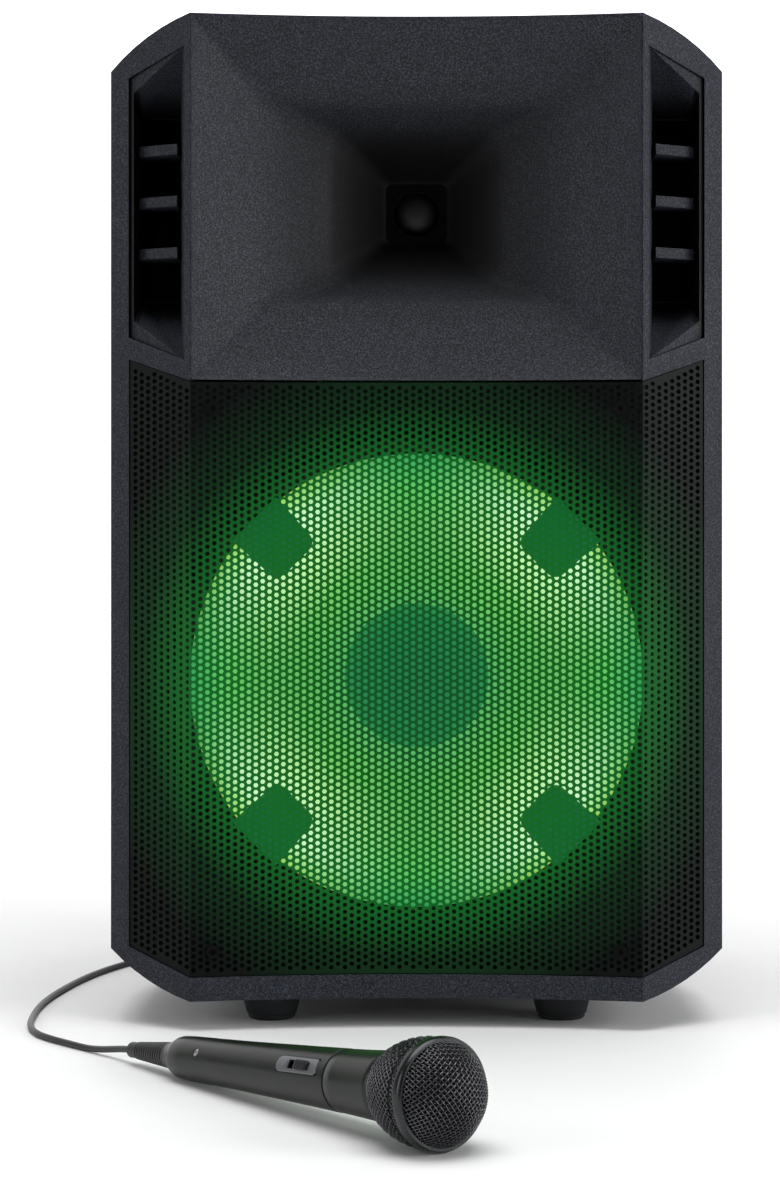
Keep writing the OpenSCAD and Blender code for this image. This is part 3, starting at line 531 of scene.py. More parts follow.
def lit_pod(name):
    """Dark light module: its own plastic catches a little of the green."""
    n = Nodes(name)
    grain = n.noise(900.0, 3.0, 0.6)
    n.set(Base_Color=n.ramp(grain, (0.3, (0.012, 0.014, 0.014)), (0.7, (0.022, 0.024, 0.024))),
          Roughness=0.5, Normal=n.bump(grain, 0.3, 0.0001),
          Emission_Color=n.ramp(grain, (0.3, (0.004, 0.105, 0.028)), (0.7, (0.006, 0.135, 0.036))))
    n.shader.inputs["Emission Strength"].default_value = 1.0
    return n.material


def light_strip(name):
    n = Nodes(name)
    cell = n.noise(200.0)
    n.set(Base_Color=(0.3, 0.6, 0.3, 1), Roughness=0.4,
          Emission_Color=n.ramp(cell, (0.3, (0.25, 0.9, 0.25)), (0.7, (0.4, 1.0, 0.35))))
    n.shader.inputs["Emission Strength"].default_value = 1.6
    return n.material


def grille_paint(name):
    """Satin black sheet; light scattered by the holes' edges haloes the lit disc."""
    n = Nodes(name)
    r, _, _ = n.radius(WOOFER_Z)
    peel = n.noise(900.0, 2.0, 0.5)
    halo = n.ramp(n.span(r, 0.0, 0.180), (0.0, (0.001, 0.078, 0.012)), (0.22, (0.001, 0.090, 0.012)),
                  (0.30, (0.001, 0.104, 0.004)), (0.54, (0.002, 0.130, 0.010)), (0.62, (0.001, 0.125, 0.014)),
                  (0.70, (0.001, 0.105, 0.011)), (0.82, (0.0008, 0.025, 0.004)), (1.0, (0.0, 0.001, 0.0)))
    n.set(Base_Color=n.ramp(peel, (0.3, (0.002, 0.002, 0.0025)), (0.7, (0.005, 0.005, 0.0055))),
          Roughness=n.span(peel, 0.3, 0.7, 0.38, 0.5), Normal=n.bump(peel, 0.3, 0.00008), Emission_Color=halo)
    n.shader.inputs["Specular IOR Level"].default_value = 0.08
    n.shader.inputs["Emission Strength"].default_value = 1.0
    return n.material


def cloth(name, colour):
    n = Nodes(name)
    wave = n.add("TexWave", Vector=n.coords, Scale=900.0, Distortion=0.5)
    n.set(Base_Color=n.ramp(wave.outputs["Fac"], (0.2, shade(colour, 0.7)), (0.8, shade(colour, 1.2))),
          Roughness=0.85, Normal=n.bump(wave.outputs["Fac"], 0.5, 0.0002))
    return n.material


def circuit_board(name):
    n = Nodes(name)
    tracks = n.add("TexBrick", Vector=n.coords, Scale=120.0, Color1=(0.015, 0.13, 0.06, 1),
                   Color2=(0.02, 0.16, 0.075, 1), Mortar=(0.01, 0.09, 0.04, 1))
    cloud = n.noise(300.0)
    n.set(Base_Color=tracks.outputs["Color"], Roughness=n.span(cloud, 0.3, 0.7, 0.3, 0.5),
          Normal=n.bump(tracks.outputs["Fac"], 0.2, 0.00005))
    return n.material


MATERIALS = {
    "housing": cabinet_plastic("housing", (0.018, 0.020, 0.028), [(0.0, 1.0), (1.0, 1.0)]),
    "grille": grille_paint("grille"),
    "black_screw": flat_black("black_screw", (0.004, 0.004, 0.0045)),
    "steel": metal("steel", (0.55, 0.55, 0.57), 0.32),
    "vent": cabinet_plastic("vent", (0.018, 0.020, 0.027),
                            [(0.0, 1.0), (0.30, 0.9), (0.47, 0.03), (1.0, 0.0)],
                            dark_beyond=(0.1495, -0.121)),
    "rubberised": rubber("rubberised", (0.018, 0.018, 0.02)),
    "foot": rubber("foot", (0.007, 0.008, 0.010), 0.65),
    "basket": painted("basket", (0.016, 0.017, 0.018), 0.45),
    "surround": lit_cone("surround"),
    "cone": lit_cone("cone"),
    "dust_cap": lit_cap("dust_cap"),
    "coil_wire": metal("coil_wire", (0.75, 0.38, 0.18), 0.3),
    "spider": cloth("spider", (0.5, 0.36, 0.14)),
    "ferrite": painted("ferrite", (0.05, 0.05, 0.053), 0.6),
    "light": painted("light", (0.012, 0.013, 0.014), 0.4),
    "pod": lit_pod("pod"),
    "throat": flat_black("throat", (0.0012, 0.0012, 0.0014)),
    "diaphragm": painted("diaphragm", (0.002, 0.002, 0.0025), 0.55),
    "board": circuit_board("board"),
    "heat_sink": metal("heat_sink", (0.6, 0.61, 0.63), 0.35),
    "battery": gloss("battery", (0.03, 0.1, 0.35), 0.25),
    "panel": plastic("panel", (0.018, 0.019, 0.022), 0.45, 1500.0, 0.0001, 0.3, 0.2),
    "knob": plastic("knob", (0.024, 0.025, 0.028), 0.38, 2200.0, 0.00005, 0.2, 0.12),
    "button": rubber("button", (0.09, 0.09, 0.095), 0.6),
    "mark": painted("mark", (0.55, 0.55, 0.54), 0.5),
    "rocker": gloss("rocker", (0.015, 0.015, 0.017)),
    "mic_body": satin("mic_body", (0.004, 0.0065, 0.004), 0.30),
    "mic_mesh": metal("mic_mesh", (0.085, 0.085, 0.092), 0.22, False),
    "mic_band": metal("mic_band", (0.045, 0.047, 0.048), 0.26, False),
    "capsule": metal("capsule", (0.45, 0.45, 0.46), 0.4),
    "switch_plate": metal("switch_plate", (0.19, 0.195, 0.205), 0.35),
    "slider": plastic("slider", (0.015, 0.015, 0.017), 0.35, 2000.0, 0.00005, 0.2, 0.1),
    "cord": rubber("cord", (0.012, 0.013, 0.013), 0.42),
    "plug": gloss("plug", (0.014, 0.014, 0.016), 0.3),
}
SLOT_OF = {s["node"]: s["material_slot"] for s in frame["record"]["subparts"]}


def paint(obj, material):
    obj.data.materials.clear()
    obj.data.materials.append(material)


def paint_nodes():
    for name, obj in NODES.items():
        for s in obj.material_slots:
            s.material = MATERIALS[SLOT_OF[name]]


paint_nodes()
paint(cord, MATERIALS["cord"])


# ---------------------------------------------------------------- refined copies of CAD shells
def body_name(node):
    for body, nodes in frame["record"]["behaviour"]["bodies"].items():
        if node in nodes:
            return body
    return "root"


def stand_for(obj, *nodes, material=None):
    """obj replaces these CAD nodes, rides on their body and takes their finish."""
    slot = SLOT_OF[nodes[0]]
    paint(obj, material or MATERIALS[slot])
    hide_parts(*nodes)
    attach(obj, body_name(nodes[0]))
    return obj


def rounded_copy(node, width, segments=2, min_angle=28):
    """A copy of a CAD node with its flats made whole and its sharp edges rounded."""
    mesh = NODES[node].data.copy()
    obj = bpy.data.objects.new(node + "_skin", mesh)
    bpy.context.scene.collection.objects.link(obj)
    bm = bmesh.new()
    bm.from_mesh(mesh)
    bmesh.ops.remove_doubles(bm, verts=bm.verts, dist=1e-6)
    bmesh.ops.dissolve_limit(bm, angle_limit=math.radians(0.5), verts=bm.verts, edges=bm.edges)
    bm.to_mesh(mesh)
    bm.free()
    bevel_edges(obj, width, min_angle, segments)
    return stand_for(obj, node)


for shell in ("front_housing", "rear_housing"):
    rounded_copy(shell, 0.8 * MM)
for shell in ("vent_left", "vent_right", "control_panel", "led_pods", "carry_handle", "power_rocker",
              "foot_front_left", "foot_front_right", "foot_rear_left", "foot_rear_right",
              "previous_button", "play_button", "next_button", "light_button"):
    rounded_copy(shell, 0.4 * MM)


# ---------------------------------------------------------------- marks round the knobs
KNOB_SWEEP = 140                    # degrees each way from straight up
TICKS = 11


def bar(half_w, z0, z1):
    """Outline of an upright bar with round ends, in x and z."""
    turns = [math.pi * i / 6 for i in range(7)]
    return ([(half_w * math.cos(t), z1 - half_w + half_w * math.sin(t)) for t in turns]
            + [(-half_w * math.cos(t), z0 + half_w - half_w * math.sin(t)) for t in turns])


def build_knob_marks():
    """A white pointer let into each knob, and a plain scale of ticks on the panel round it."""
    panel_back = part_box("control_panel")[1][1]
    for node in ("volume_knob", "mic_volume_knob", "echo_knob"):
        low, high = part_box(node)
        cx, cz, top = (low[0] + high[0]) / 2, (low[2] + high[2]) / 2, high[1]
        r = (high[0] - low[0]) / 2
        shape = bar(0.5 * MM, 0.34 * r, 0.86 * r)
        pointer = skin(node + "_pointer", [[Vector((cx + x, y, cz + z)) for x, z in shape]
                                           for y in (top - 0.7 * MM, top - 0.15 * MM)])
        paint(pointer, MATERIALS["mark"])
        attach(pointer, body_name(node))
        for i in range(TICKS):
            turn = math.radians(KNOB_SWEEP * (2 * i / (TICKS - 1) - 1))
            shape = bar(0.35 * MM, r + 2.2 * MM, r + 4.4 * MM)
            ring = [(x * math.cos(turn) + z * math.sin(turn), z * math.cos(turn) - x * math.sin(turn))
                    for x, z in shape]
            tick = skin(f"{node}_tick_{i}", [[Vector((cx + x, y, cz + z)) for x, z in ring]
                                             for y in (panel_back - 0.1 * MM, panel_back + 0.12 * MM)])
            paint(tick, MATERIALS["mark"])
            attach(tick, "cabinet")


build_knob_marks()


# ---------------------------------------------------------------- horn
HORN_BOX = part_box("horn_waveguide")
HORN_LOW = HORN_BOX[0][2]
HORN_DEPTH = 79 * MM
HORN_SHAPE = [                      # depth behind the front, half width, half height
    (0.0, 119.4, 96.3), (0.8, 118.6, 95.5), (2.5, 116.4, 92.8), (12, 101, 76.5), (22, 85, 59.5),
    (25, 80.3, 55), (28, 75.7, 52.3), (38, 60, 45.6), (43.5, 51, 41.8), (46, 47.6, 40.1), (49, 44.6, 38),
    (64, 31, 27.5), (76, 20.1, 18.8), (78.4, 18.1, 17.1), (79, 17.2, 16.2)]
HORN_CORNER = 3.2 * MM
HORN_STEPS = 24


def rounded_ring(half_x, low, high, corner, depth_at):
    """A rectangle with round corners, drawn in steps, each point at the depth that depth_at gives for x."""
    points = []
    for cx, cz, turn in ((half_x - corner, high - corner, 0), (-half_x + corner, high - corner, 90),
                         (-half_x + corner, low + corner, 180), (half_x - corner, low + corner, 270)):
        for k in range(7):
            t = math.radians(turn + 15 * k)
            points.append((cx + corner * math.cos(t), cz + corner * math.sin(t)))
        nxt = {0: (-half_x + corner, high), 90: (-half_x, low + corner), 180: (half_x - corner, low),
               270: (half_x, high - corner)}[turn]
        x0, z0 = points[-1]
        for k in range(1, HORN_STEPS):
            f = k / HORN_STEPS
            points.append((x0 + (nxt[0] - x0) * f, z0 + (nxt[1] - z0) * f))
    return [Vector((x, depth_at(x), z)) for x, z in points]


def horn_ring(depth, half_x, half_z, out=0.0, back=0.0, corner=HORN_CORNER):
    flat = FRONT_Y + depth * MM
    return rounded_ring(
        half_x * MM + out, HORN_Z - half_z * MM - out, HORN_Z + half_z * MM + out, corner + out,
        lambda x: flat + back + (front_at(x) - FRONT_Y) * max(0.0, 1 - depth / 45.0))


def build_horn():
    inner = []
    for depth, hx, hz in HORN_SHAPE:
        corner = (1 + 8 * math.sin(math.pi * depth / 90)) * MM
        inner.append(horn_ring(depth, hx, hz, corner=corner))
    back = ((79, 18, 17, 8), (45, 48.7, 40.9, 2.5), (25, 80.3, 55, 2), (6, 117, 94, 1.2))
    outer = [horn_ring(d, hx, hz, out=o * MM, back=3 * MM, corner=1.5 * MM) for d, hx, hz, o in back]
    obj = skin("horn_waveguide_skin", inner + outer, closed=True)
    sharp_by_angle(obj, 50)
    return stand_for(obj, "horn_waveguide", material=HORN_MATERIAL)


HORN_MATERIAL = cabinet_plastic("horn", (0.021, 0.023, 0.030), [
    (0.0, 1.0), (0.24, 0.92), (0.34, 0.55), (0.45, 0.32), (0.56, 0.07), (0.64, 0.0), (1.0, 0.0)])
build_horn()


def build_throat_plate():
    """Flange at the back of the horn, with the driver's round mouth in it."""
    place = Matrix.Translation((0, 0, HORN_Z)) @ Matrix.Rotation(math.pi / 2, 4, "X")
    z = -(FRONT_Y + HORN_DEPTH)
    profile = [(12.6, 0), (13.4, 0.8), (13.4, 1.6), (14.6, 1.6), (14.6, 0.6), (30, 0.6), (42, -0.2),
               (42, -4), (12.6, -4)]
    obj = lathe("throat_plate", [(r * MM, z + h * MM - 0.8 * MM) for r, h in profile], place, 64, closed=True)
    sharp_by_angle(obj, 40)
    paint(obj, MATERIALS["throat"])
    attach(obj, "cabinet")


build_throat_plate()


# ---------------------------------------------------------------- grille
GRILLE_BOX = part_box("grille")
GRILLE_HALF = GRILLE_BOX[1][0]
HOLE_PITCH_Z = 3.68 * MM
COLUMN_W = RIDGE_X / 33
HOLE_R = 1.36 * MM
SHEET_T = 1.2 * MM
SHEET_BACK = 0.8 * MM


def grille_edges(x):
    """Lowest and highest point of the grille at x."""
    ax = abs(x)
    low, high = GRILLE_LOW, GRILLE_TOP
    if ax <= RIDGE_X:
        return low, high
    f = (ax - RIDGE_X) / (GRILLE_HALF - RIDGE_X)
    return low + f * (GRILLE_LOW_END - low), high + f * (GRILLE_TOP_END - high)


GRILLE_LOW = GRILLE_BOX[0][2]
GRILLE_TOP_END = GRILLE_BOX[1][2]
GRILLE_LOW_END = GRILLE_LOW + 13.4 * MM
GRILLE_TOP = HORN_LOW - 0.7 * MM


def build_grille():
    """A folded sheet with staggered holes, one cell to a hole, cut off straight at its outline."""
    whole = int((GRILLE_HALF - 0.6 * MM) / COLUMN_W)
    lines = [-GRILLE_HALF] + [k * COLUMN_W for k in range(-whole, whole + 1)] + [GRILLE_HALF]
    index, verts, faces = {}, [], []

    def vertex(x, z):
        key = (round(x / (0.01 * MM)), round(z / (0.01 * MM)))
        if key not in index:
            index[key] = len(verts)
            verts.append((x, front_at(x) + SHEET_BACK, z))
        return index[key]

    half = HOLE_PITCH_Z / 2
    for c, (x0, x1) in enumerate(zip(lines, lines[1:])):
        (low0, top0), (low1, top1) = grille_edges(x0), grille_edges(x1)
        low, top = max(low0, low1), min(top0, top1)
        first = math.ceil(low / half)
        if (first + c) % 2:
            first += 1
        last = math.floor(top / half)
        if (last - first) % 2:
            last -= 1
        edge = c == 0 or c == len(lines) - 2
        cx = (x0 + x1) / 2

        def side(x, z_from, z_to):
            """Vertices at every half pitch on one side of a column, between two heights."""
            ks = range(math.floor(z_from / half) + 1, math.ceil(z_to / half))
            between = [k * half for k in ks if z_from + 0.02 * MM < k * half < z_to - 0.02 * MM]
            return [z_from] + between + [z_to]

        if edge:
            right = [vertex(x1, z) for z in side(x1, low1, top1)]
            left = [vertex(x0, z) for z in side(x0, low0, top0)]
            faces.append(right + left[::-1])
            continue
        bottom_right = [vertex(x1, z) for z in side(x1, low1, first * half)]
        bottom_left = [vertex(x0, z) for z in side(x0, low0, first * half)]
        faces.append(bottom_right + bottom_left[::-1])
        for k in range(first, last, 2):
            cz = (k + 1) * half
            ring = [(x1, cz), (x1, cz + half), (x0, cz + half), (x0, cz), (x0, cz - half), (x1, cz - half)]
            outer = [vertex(*p) for p in ring]
            hole = [vertex(cx + HOLE_R * math.cos(t), cz + HOLE_R * math.sin(t))
                    for t in (math.radians(60 * i) for i in range(6))]
            for i in range(6):
                j = (i + 1) % 6
                faces.append((outer[i], outer[j], hole[j], hole[i]))
        top_right = [vertex(x1, z) for z in side(x1, last * half, top1)]
        top_left = [vertex(x0, z) for z in side(x0, last * half, top0)]
        faces.append(top_right + top_left[::-1])
    obj = new_object("grille_skin", verts, faces, smooth=False)
    bm = bmesh.new()
    bm.from_mesh(obj.data)
    for f in bm.faces:
        f.normal_update()
        if f.normal.y > 0:
            f.normal_flip()
    bm.to_mesh(obj.data)
    bm.free()
    apply_modifier(obj, "SOLIDIFY", thickness=SHEET_T, offset=-1)
    sharp_by_angle(obj, 20)
    return stand_for(obj, "grille")


build_grille()


# ---------------------------------------------------------------- woofer
FACING = Matrix.Translation((0, 0, WOOFER_Z)) @ Matrix.Rotation(math.pi / 2, 4, "X")


def mm(profile):
    return [(r * MM, h * MM) for r, h in profile]


def build_trim_ring():
    """Black ring round the woofer, with the strip of lights in its inner wall."""
    ring = lathe("light_trim_ring", mm([
        (122.6, 119.5), (122.6, 120.6), (123.2, 121), (130.2, 121), (130.8, 120.4), (130.8, 115.15),
        (129.4, 115.15), (129.4, 119.3), (122.9, 119.3)]), FACING, 128, closed=True)
    sharp_by_angle(ring, 35)
    stand_for(ring, "led_ring")
    strip = lathe("light_strip", mm([
        (127.9, 117.3), (127.9, 119.1), (129.2, 119.1), (129.2, 117.3)]), FACING, 128, closed=True)
    sharp_by_angle(strip, 35)
    paint(strip, light_strip("light_strip"))
    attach(strip, "cabinet")


build_trim_ring()


def flexing_ring(name, node, profile, fixed_r, moving_r, material):
    """A soft ring whose outer edge stays with the cabinet while its inner edge moves with the cone."""
    ring = lathe(name, mm(profile), FACING, 160, closed=True)
    sharp_by_angle(ring, 50)
    paint(ring, material)
    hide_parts(node)
    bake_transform(ring, "cabinet", "woofer_moving",
             start=(fixed_r * MM, 0, WOOFER_Z), end=(moving_r * MM, 0, WOOFER_Z))
    weights = ring.data.attributes["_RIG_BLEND"].data
    for i, v in enumerate(ring.data.vertices):
        r = math.hypot(v.co.x, v.co.z - WOOFER_Z) / MM
        t = min(1.0, max(0.0, (fixed_r - r) / (fixed_r - moving_r)))
        weights[i].value = t * t * (3 - 2 * t)


def build_suspension():
    turns = [math.pi * i / 24 for i in range(25)]
    flexing_ring("woofer_surround_roll", "woofer_surround", [(104.5, 112.1), (107.5, 112.1)]
                 + [(114 - 6 * math.cos(t), 115.2 + 4.6 * math.sin(t)) for t in turns]
                 + [(122.3, 115.2), (122.3, 116.4), (121.3, 116.4)]
                 + [(114 - 7.2 * math.cos(t), 115.5 + 5.3 * math.sin(t)) for t in reversed(turns)]
                 + [(104.5, 113.3)], 121.0, 107.0, MATERIALS["surround"])
    waves = 12
    radii = [19.8 + (78 - 19.8) * i / (waves * 8) for i in range(waves * 8 + 1)]
    wave = [0.8 - 0.8 * math.cos(2 * math.pi * i / 8) for i in range(len(radii))]
    flexing_ring("spider_web", "spider", [(r, 51.55 + w) for r, w in zip(radii, wave)]
                 + [(r, 50.65 + w) for r, w in reversed(list(zip(radii, wave)))],
                 76.0, 22.0, MATERIALS["spider"])


build_suspension()


# ---------------------------------------------------------------- microphone
BALL_X = BALL_AT / MM
WIRE_R = 0.30
WIRE_BALL_R = 23.95
FLAT_TURN = -30.0               # the switch plate's roll about the microphone's axis, degrees
PLATE_X = (104, 136.8)
PLATE_HALF = 3.8
SLOT_X = (113.7, 129.2)
SLOT_HALF = 2.5
SCREW_X = 34.6
HANDLE = [(0, 6.6), (4, 7.0), (5.5, 7.7), (7, 8.9), (9.5, 9.9), (11.4, 10.3), (20, 10.7), (60, 11.6),
          (100, 12.9),
          (126, 13.8), (142.2, 14.4)]


def along_mic(name, profile, steps=64, closed=False):
    obj = lathe(name, mm(profile), ALONG_MIC, steps, closed)
    sharp_by_angle(obj, 35)
    return obj


def mic_point(x, r, turn):
    """A point at x along the microphone and r from its axis, turned about it."""
    return MIC @ Vector((x * MM, r * MM * math.cos(turn), r * MM * math.sin(turn)))


def wires(name, paths, radius, sides=5):
    """Many thin round wires in one mesh."""
    verts, faces = [], []
    for path in paths:
        side = None
        first = len(verts)
        for i, point in enumerate(path):
            tangent = (path[min(i + 1, len(path) - 1)] - path[max(i - 1, 0)]).normalized()
            if side is None:
                side = tangent.orthogonal().normalized()
            side = (side - tangent * side.dot(tangent)).normalized()
            up = tangent.cross(side)
            for k in range(sides):
                t = 2 * math.pi * k / sides
                verts.append(point + radius * (math.cos(t) * side + math.sin(t) * up))
        for i in range(len(path) - 1):
            for k in range(sides):
                a, b = first + i * sides + k, first + i * sides + (k + 1) % sides
                faces.append((a, b, b + sides, a + sides))
        faces.append(tuple(first + k for k in range(sides))[::-1])
        faces.append(tuple(first + (len(path) - 1) * sides + k for k in range(sides)))
    return new_object(name, verts, faces)


def ball_wires():
    """Two crossing families of wires, over and under, as a flat mesh pressed into a dome."""
    pitch, reach, paths = 1.95, 36.9, []
    lines = int(reach / pitch)
    for family in (0, 1):
        for k in range(-lines, lines + 1):
            u = k * pitch
            half = math.sqrt(max(reach * reach - u * u, 0))
            count = int(half / (pitch / 2))
            if count < 2:
                continue
            path = []
            for j in range(-count, count + 1):
                v = j * pitch / 2
                a, b = (u, v) if family == 0 else (v, u)
                rho = math.hypot(a, b)
                polar = rho / WIRE_BALL_R
                weave = 0.22 * math.cos(math.pi * (j / 2 + k)) * (1 if family == 0 else -1)
                path.append(mic_point(BALL_X + (WIRE_BALL_R + weave) * math.cos(polar),
                                      (WIRE_BALL_R + weave) * math.sin(polar), math.atan2(b, a) + 0.6))
            paths.append(path)
    return paths


def cone_wires():
    """Two families of spiral wires on the cone between the collar and the band."""
    x0, x1, r0, r1, count, steps = 178.8, 203.4, 16.5, 23.95, 50, 30
    paths = []
    for hand in (1, -1):
        for k in range(count):
            turn = 2 * math.pi * k / count
            path = []
            for i in range(steps + 1):
                f = i / steps
                r = r0 + (r1 - r0) * math.sin(math.pi / 2 * f) ** 0.75
                weave = 0.22 * math.cos(math.pi * (i * 0.57 + k)) * hand
                path.append(mic_point(x0 + (x1 - x0) * f, r + weave, turn))
                turn += hand * (x1 - x0) / steps / r
            paths.append(path)
    return paths


def build_mic_head():
    mesh = wires("mic_head_mesh", ball_wires() + cone_wires(), WIRE_R * MM)
    stand_for(mesh, "mic_grille")
    n = 16
    ball = [((WIRE_BALL_R - 0.75) * math.cos(math.pi / 2 * i / n),
             BALL_X + (WIRE_BALL_R - 0.75) * math.sin(math.pi / 2 * i / n)) for i in range(n + 1)]
    inner = [((WIRE_BALL_R - 2.2) * math.cos(math.pi / 2 * i / n),
              BALL_X + (WIRE_BALL_R - 2.2) * math.sin(math.pi / 2 * i / n)) for i in range(n, -1, -1)]
    foam = along_mic("mic_foam_liner", [(15.1, 178.7), (15.9, 178.7), (20.1, 186), (22.3, 195)] + ball
                     + inner + [(20.9, 195), (18.7, 186), (14.6, 179.6)], closed=True)
    paint(foam, foam_material())
    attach(foam, "microphone")
    band = along_mic("mic_band_skin", [
        (23.6, 207.1), (24.2, 206.9), (24.7, 207.4), (24.85, 208.4), (24.85, 210.4), (24.6, 211.4),
        (23.9, 212.2), (22.6, 212.2)], 96, closed=True)
    stand_for(band, "mic_grille_band")
    seat = along_mic("mic_head_seat", [
        (14.9, 177.5), (16.2, 177.5), (16.6, 177.9), (16.6, 178.6), (16.2, 179.0), (14.9, 179.0)],
        96, closed=True)
    paint(seat, MATERIALS["mic_band"])
    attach(seat, "microphone")


def foam_material():
    n = Nodes("mic_foam")
    cells = n.add("TexVoronoi", Vector=n.coords, Scale=1500.0)
    gap = cells.outputs["Distance"]
    n.set(Base_Color=n.ramp(gap, (0.1, (0.004, 0.004, 0.004)), (0.7, (0.010, 0.010, 0.011))),
          Roughness=0.95, Normal=n.bump(gap, 0.7, 0.0003))
    return n.material


def handle_r(x):
    for (x0, r0), (x1, r1) in zip(HANDLE, HANDLE[1:]):
        if x <= x1:
            return r0 + (r1 - r0) * (x - x0) / (x1 - x0)
    return HANDLE[-1][1]


def rolled_prism(name, outline, low, high):
    """An outline in x and z, stood out from the axis between two heights and rolled with the plate."""
    roll = Matrix.Rotation(math.radians(FLAT_TURN), 4, "X")
    return skin(name, [[MIC @ ((roll @ Vector((x, -h, z))) * MM) for x, z in outline] for h in (low, high)])


def cut(obj, tool):
    apply_modifier(obj, "BOOLEAN", object=tool, operation="DIFFERENCE", solver="EXACT")
    bpy.data.objects.remove(tool)


def build_handle():
    """Turned handle and collar, with the recess for the switch plate and the screw's hole."""
    handle = along_mic("mic_handle_skin", [(2.0, 0.0)] + [(r, x) for x, r in HANDLE]
                       + [(14.2, 142.4), (10.6, 142.4), (10.6, 140.4), (2.0, 140.4)], 128, closed=True)
    half, gap = PLATE_HALF + 0.25, 0.25
    x0, x1 = PLATE_X[0] - gap, PLATE_X[1] + gap
    around = [(x0 + half - half * math.cos(t), half * math.sin(t))
              for t in (math.pi * (i / 16 - 0.5) for i in range(17))]
    cut(handle, rolled_prism("recess", around + [(x1, half), (x1, -half)], 11.4, 18))
    ring = [(SCREW_X + 2.1 * math.cos(t), 2.1 * math.sin(t)) for t in (math.pi * i / 16 for i in range(32))]
    cut(handle, rolled_prism("screw_hole", ring, 8.6, 18))
    sharp_by_angle(handle, 30)
    stand_for(handle, "mic_handle")
    collar = along_mic("mic_collar_skin", [
        (2.0, 140.6), (10.4, 140.6), (10.4, 142.6), (14.0, 142.6), (14.3, 143.1), (14.5, 148), (14.9, 156.5),
        (15.4, 166), (16.0, 173.7), (16.15, 176), (15.8, 177.3), (15.0, 178.3), (2.0, 178.3)],
        128, closed=True)
    stand_for(collar, "mic_collar")


def build_switch_plate():
    """Satin plate let into the handle: round at one end, with a slot for the slider."""
    roll = math.radians(FLAT_TURN)
    x0, x1 = PLATE_X
    half, top_drop, thick = PLATE_HALF, -0.05, 1.2
    slot_x, slot_z = SLOT_X, SLOT_HALF
    xs = [x0 + half * (1 - math.cos(math.pi / 2 * i / 8)) for i in range(8)]
    xs += [x0 + half + (slot_x[0] - x0 - half) * i / 2 for i in range(2)]
    xs += [slot_x[0] + (slot_x[1] - slot_x[0]) * i / 8 for i in range(9)]
    xs += [slot_x[1] + (x1 - slot_x[1]) * i / 5 for i in range(1, 6)]

    def reach(x):
        if x < x0 + half:
            return max(0.35, math.sqrt(max(half * half - (x0 + half - x) ** 2, 0)))
        if x > x1 - 1.2:
            return half - 1.2 + math.sqrt(max(1.2**2 - (x - x1 + 1.2) ** 2, 0))
        return half

    def row(x):
        r = reach(x)
        s = min(slot_z, r * 0.55)
        return [-r, -(r + s) / 2, -s, -s / 3, s / 3, s, (r + s) / 2, r]

    verts, faces, width = [], [], 8
    for x in xs:
        for z in row(x):
            y = -math.sqrt((handle_r(x) - top_drop) ** 2 - z * z)
            p = Matrix.Rotation(roll, 4, "X") @ Vector((x, y, z))
            verts.append(MIC @ (p * MM))
    for i in range(len(xs) - 1):
        for k in range(width - 1):
            middle = (xs[i] + xs[i + 1]) / 2
            if slot_x[0] < middle < slot_x[1] and 2 <= k <= 4:
                continue
            a = i * width + k
            faces.append((a, a + 1, a + 1 + width, a + width))
    plate = new_object("mic_switch_plate_skin", verts, faces)
    solidify(plate, thick * MM, outward=MIC.to_3x3() @ (Matrix.Rotation(roll, 3, "X") @ Vector((0, -1, 0))))
    bevel_edges(plate, 0.25 * MM, 40)
    stand_for(plate, "mic_switch_plate")


SLIDER_L = 9.4


def build_slider():
    """Slider cap with grip ridges across it."""
    roll = Matrix.Rotation(math.radians(FLAT_TURN), 4, "X")
    x1 = SLOT_X[1] - 0.3
    x0, low, top, half = x1 - SLIDER_L, -12.5, -15.1, SLOT_HALF - 0.3
    profile = [(x0, low), (x0, top + 0.5)]
    ridges = 5
    for i in range(ridges):
        a = x0 + 0.6 + (x1 - x0 - 1.2) * i / ridges
        step = (x1 - x0 - 1.2) / ridges
        profile += [(a, top), (a + step * 0.45, top),
                    (a + step * 0.7, top + 0.55), (a + step * 0.9, top + 0.55)]
    profile += [(x1 - 0.6, top), (x1, top + 0.5), (x1, low)]
    rings = [[MIC @ ((roll @ Vector((x, y, z))) * MM) for x, y in profile] for z in (-half, half)]
    cap = skin("mic_slider_cap", rings)
    bevel_edges(cap, 0.12 * MM, 30, 1)
    stand_for(cap, "mic_switch_slider")


def build_boot():
    """Ribbed strain relief."""
    profile = [(0.01, 0.0), (6.4, 0.0)]
    ribs = 13
    for i in range(ribs):
        r = 6.4 - 2.0 * i / (ribs - 1)
        h = 0.8 + 2.3 * i
        profile += [(r, h), (r, h + 1.1), (r - 0.6, h + 1.25), (r - 0.6, h + 2.1)]
    profile += [(3.9, 31.2), (3.9, 36.2), (3.4, 37.0), (0.01, 37.0)]
    place = MIC @ Matrix.Rotation(-math.pi / 2, 4, "Y")
    boot = lathe("mic_boot_skin", mm(profile), place, 48)
    sharp_by_angle(boot, 30)
    stand_for(boot, "mic_cable_boot")


build_mic_head()
build_switch_plate()
build_slider()
build_boot()
build_handle()


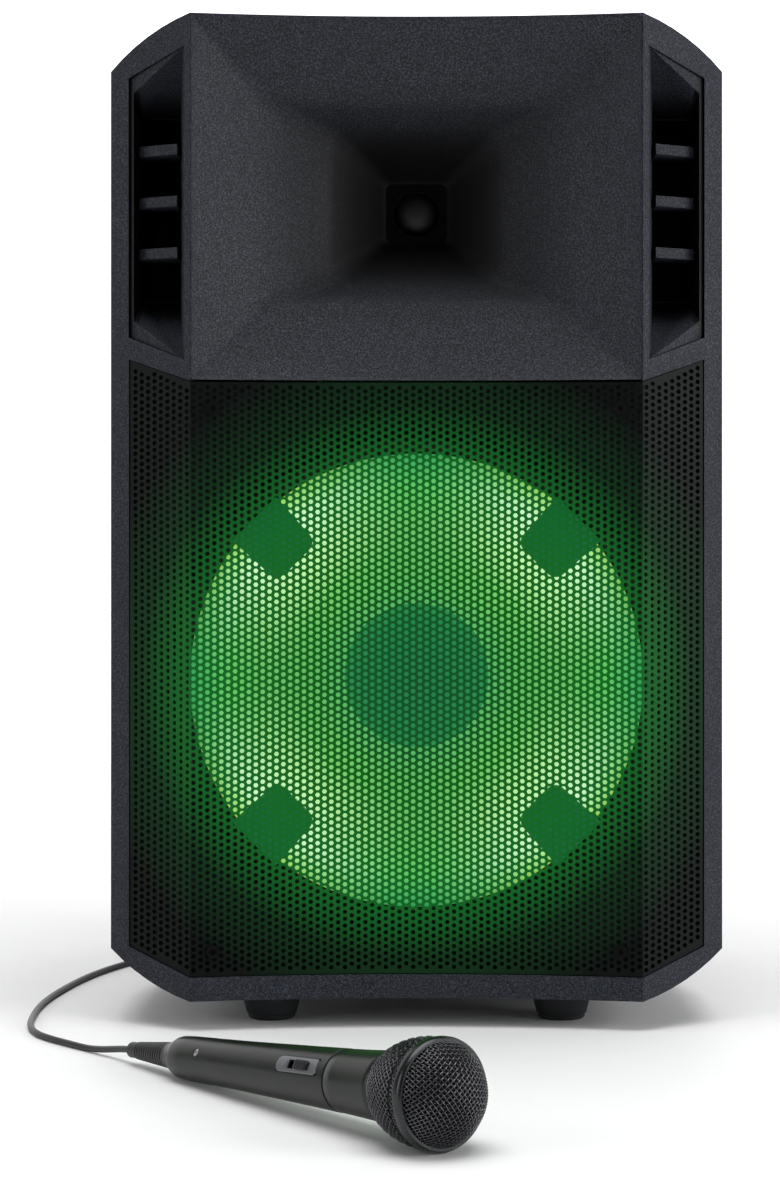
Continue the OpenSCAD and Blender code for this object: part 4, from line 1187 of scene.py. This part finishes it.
# ---------------------------------------------------------------- floor, backdrop and lights
def build_stage():
    """A pale floor that sweeps up behind into a backdrop."""
    depth, bend, height, half = 7.0, 2.5, 11.5, 18.0
    profile = [(-half, 0.0), (depth, 0.0)]
    for k in range(1, 17):
        t = math.pi / 2 * k / 16
        profile.append((depth + bend * math.sin(t), bend * (1 - math.cos(t))))
    profile.append((depth + bend, height))
    verts = [(s * half, y, FLOOR_Z + z) for y, z in profile for s in (-1, 1)]
    faces = [(2 * i, 2 * i + 1, 2 * i + 3, 2 * i + 2) for i in range(len(profile) - 1)]
    stage = new_object("stage", verts, faces)
    n = Nodes("stage")
    cloud = n.noise(3.0)
    parts = n.add("SeparateXYZ", Vector=n.coords)
    lit = n.span(parts.outputs["Y"], 0.5, 2.4, 0.0, 1.0, smooth=True)
    n.set(Base_Color=n.ramp(cloud, (0.3, (0.86, 0.86, 0.865)), (0.7, (0.88, 0.88, 0.885))), Roughness=0.6,
          Emission_Color=(1, 1, 1, 1), Emission_Strength=lit)
    paint(stage, n.material)


def area_light(name, place, aim, size, power, colour=(1, 1, 1)):
    data = bpy.data.lights.new(name, "AREA")
    data.shape = "RECTANGLE"
    data.size, data.size_y = size
    data.energy = power
    data.color = colour
    light = bpy.data.objects.new(name, data)
    light.location = place
    light.rotation_euler = (Vector(aim) - Vector(place)).to_track_quat("-Z", "Y").to_euler()
    bpy.context.scene.collection.objects.link(light)


def build_lights():
    world = bpy.data.worlds.new("studio")
    bpy.context.scene.world = world
    world.use_nodes = True
    background = world.node_tree.nodes["Background"]
    background.inputs["Color"].default_value = (1, 1, 1, 1)
    background.inputs["Strength"].default_value = 0.1
    area_light("right_box", (2.4, -1.2, 0.9), (0, 0, 0.28), (1.4, 1.6), 46)
    area_light("left_box", (-2.4, -1.2, 0.9), (0, 0, 0.28), (1.4, 1.6), 19)
    area_light("top", (0, -0.3, 2.5), (0, -0.1, 0), (2.4, 2.0), 64)


build_stage()
build_lights()
bpy.context.scene.view_settings.view_transform = "Standard"
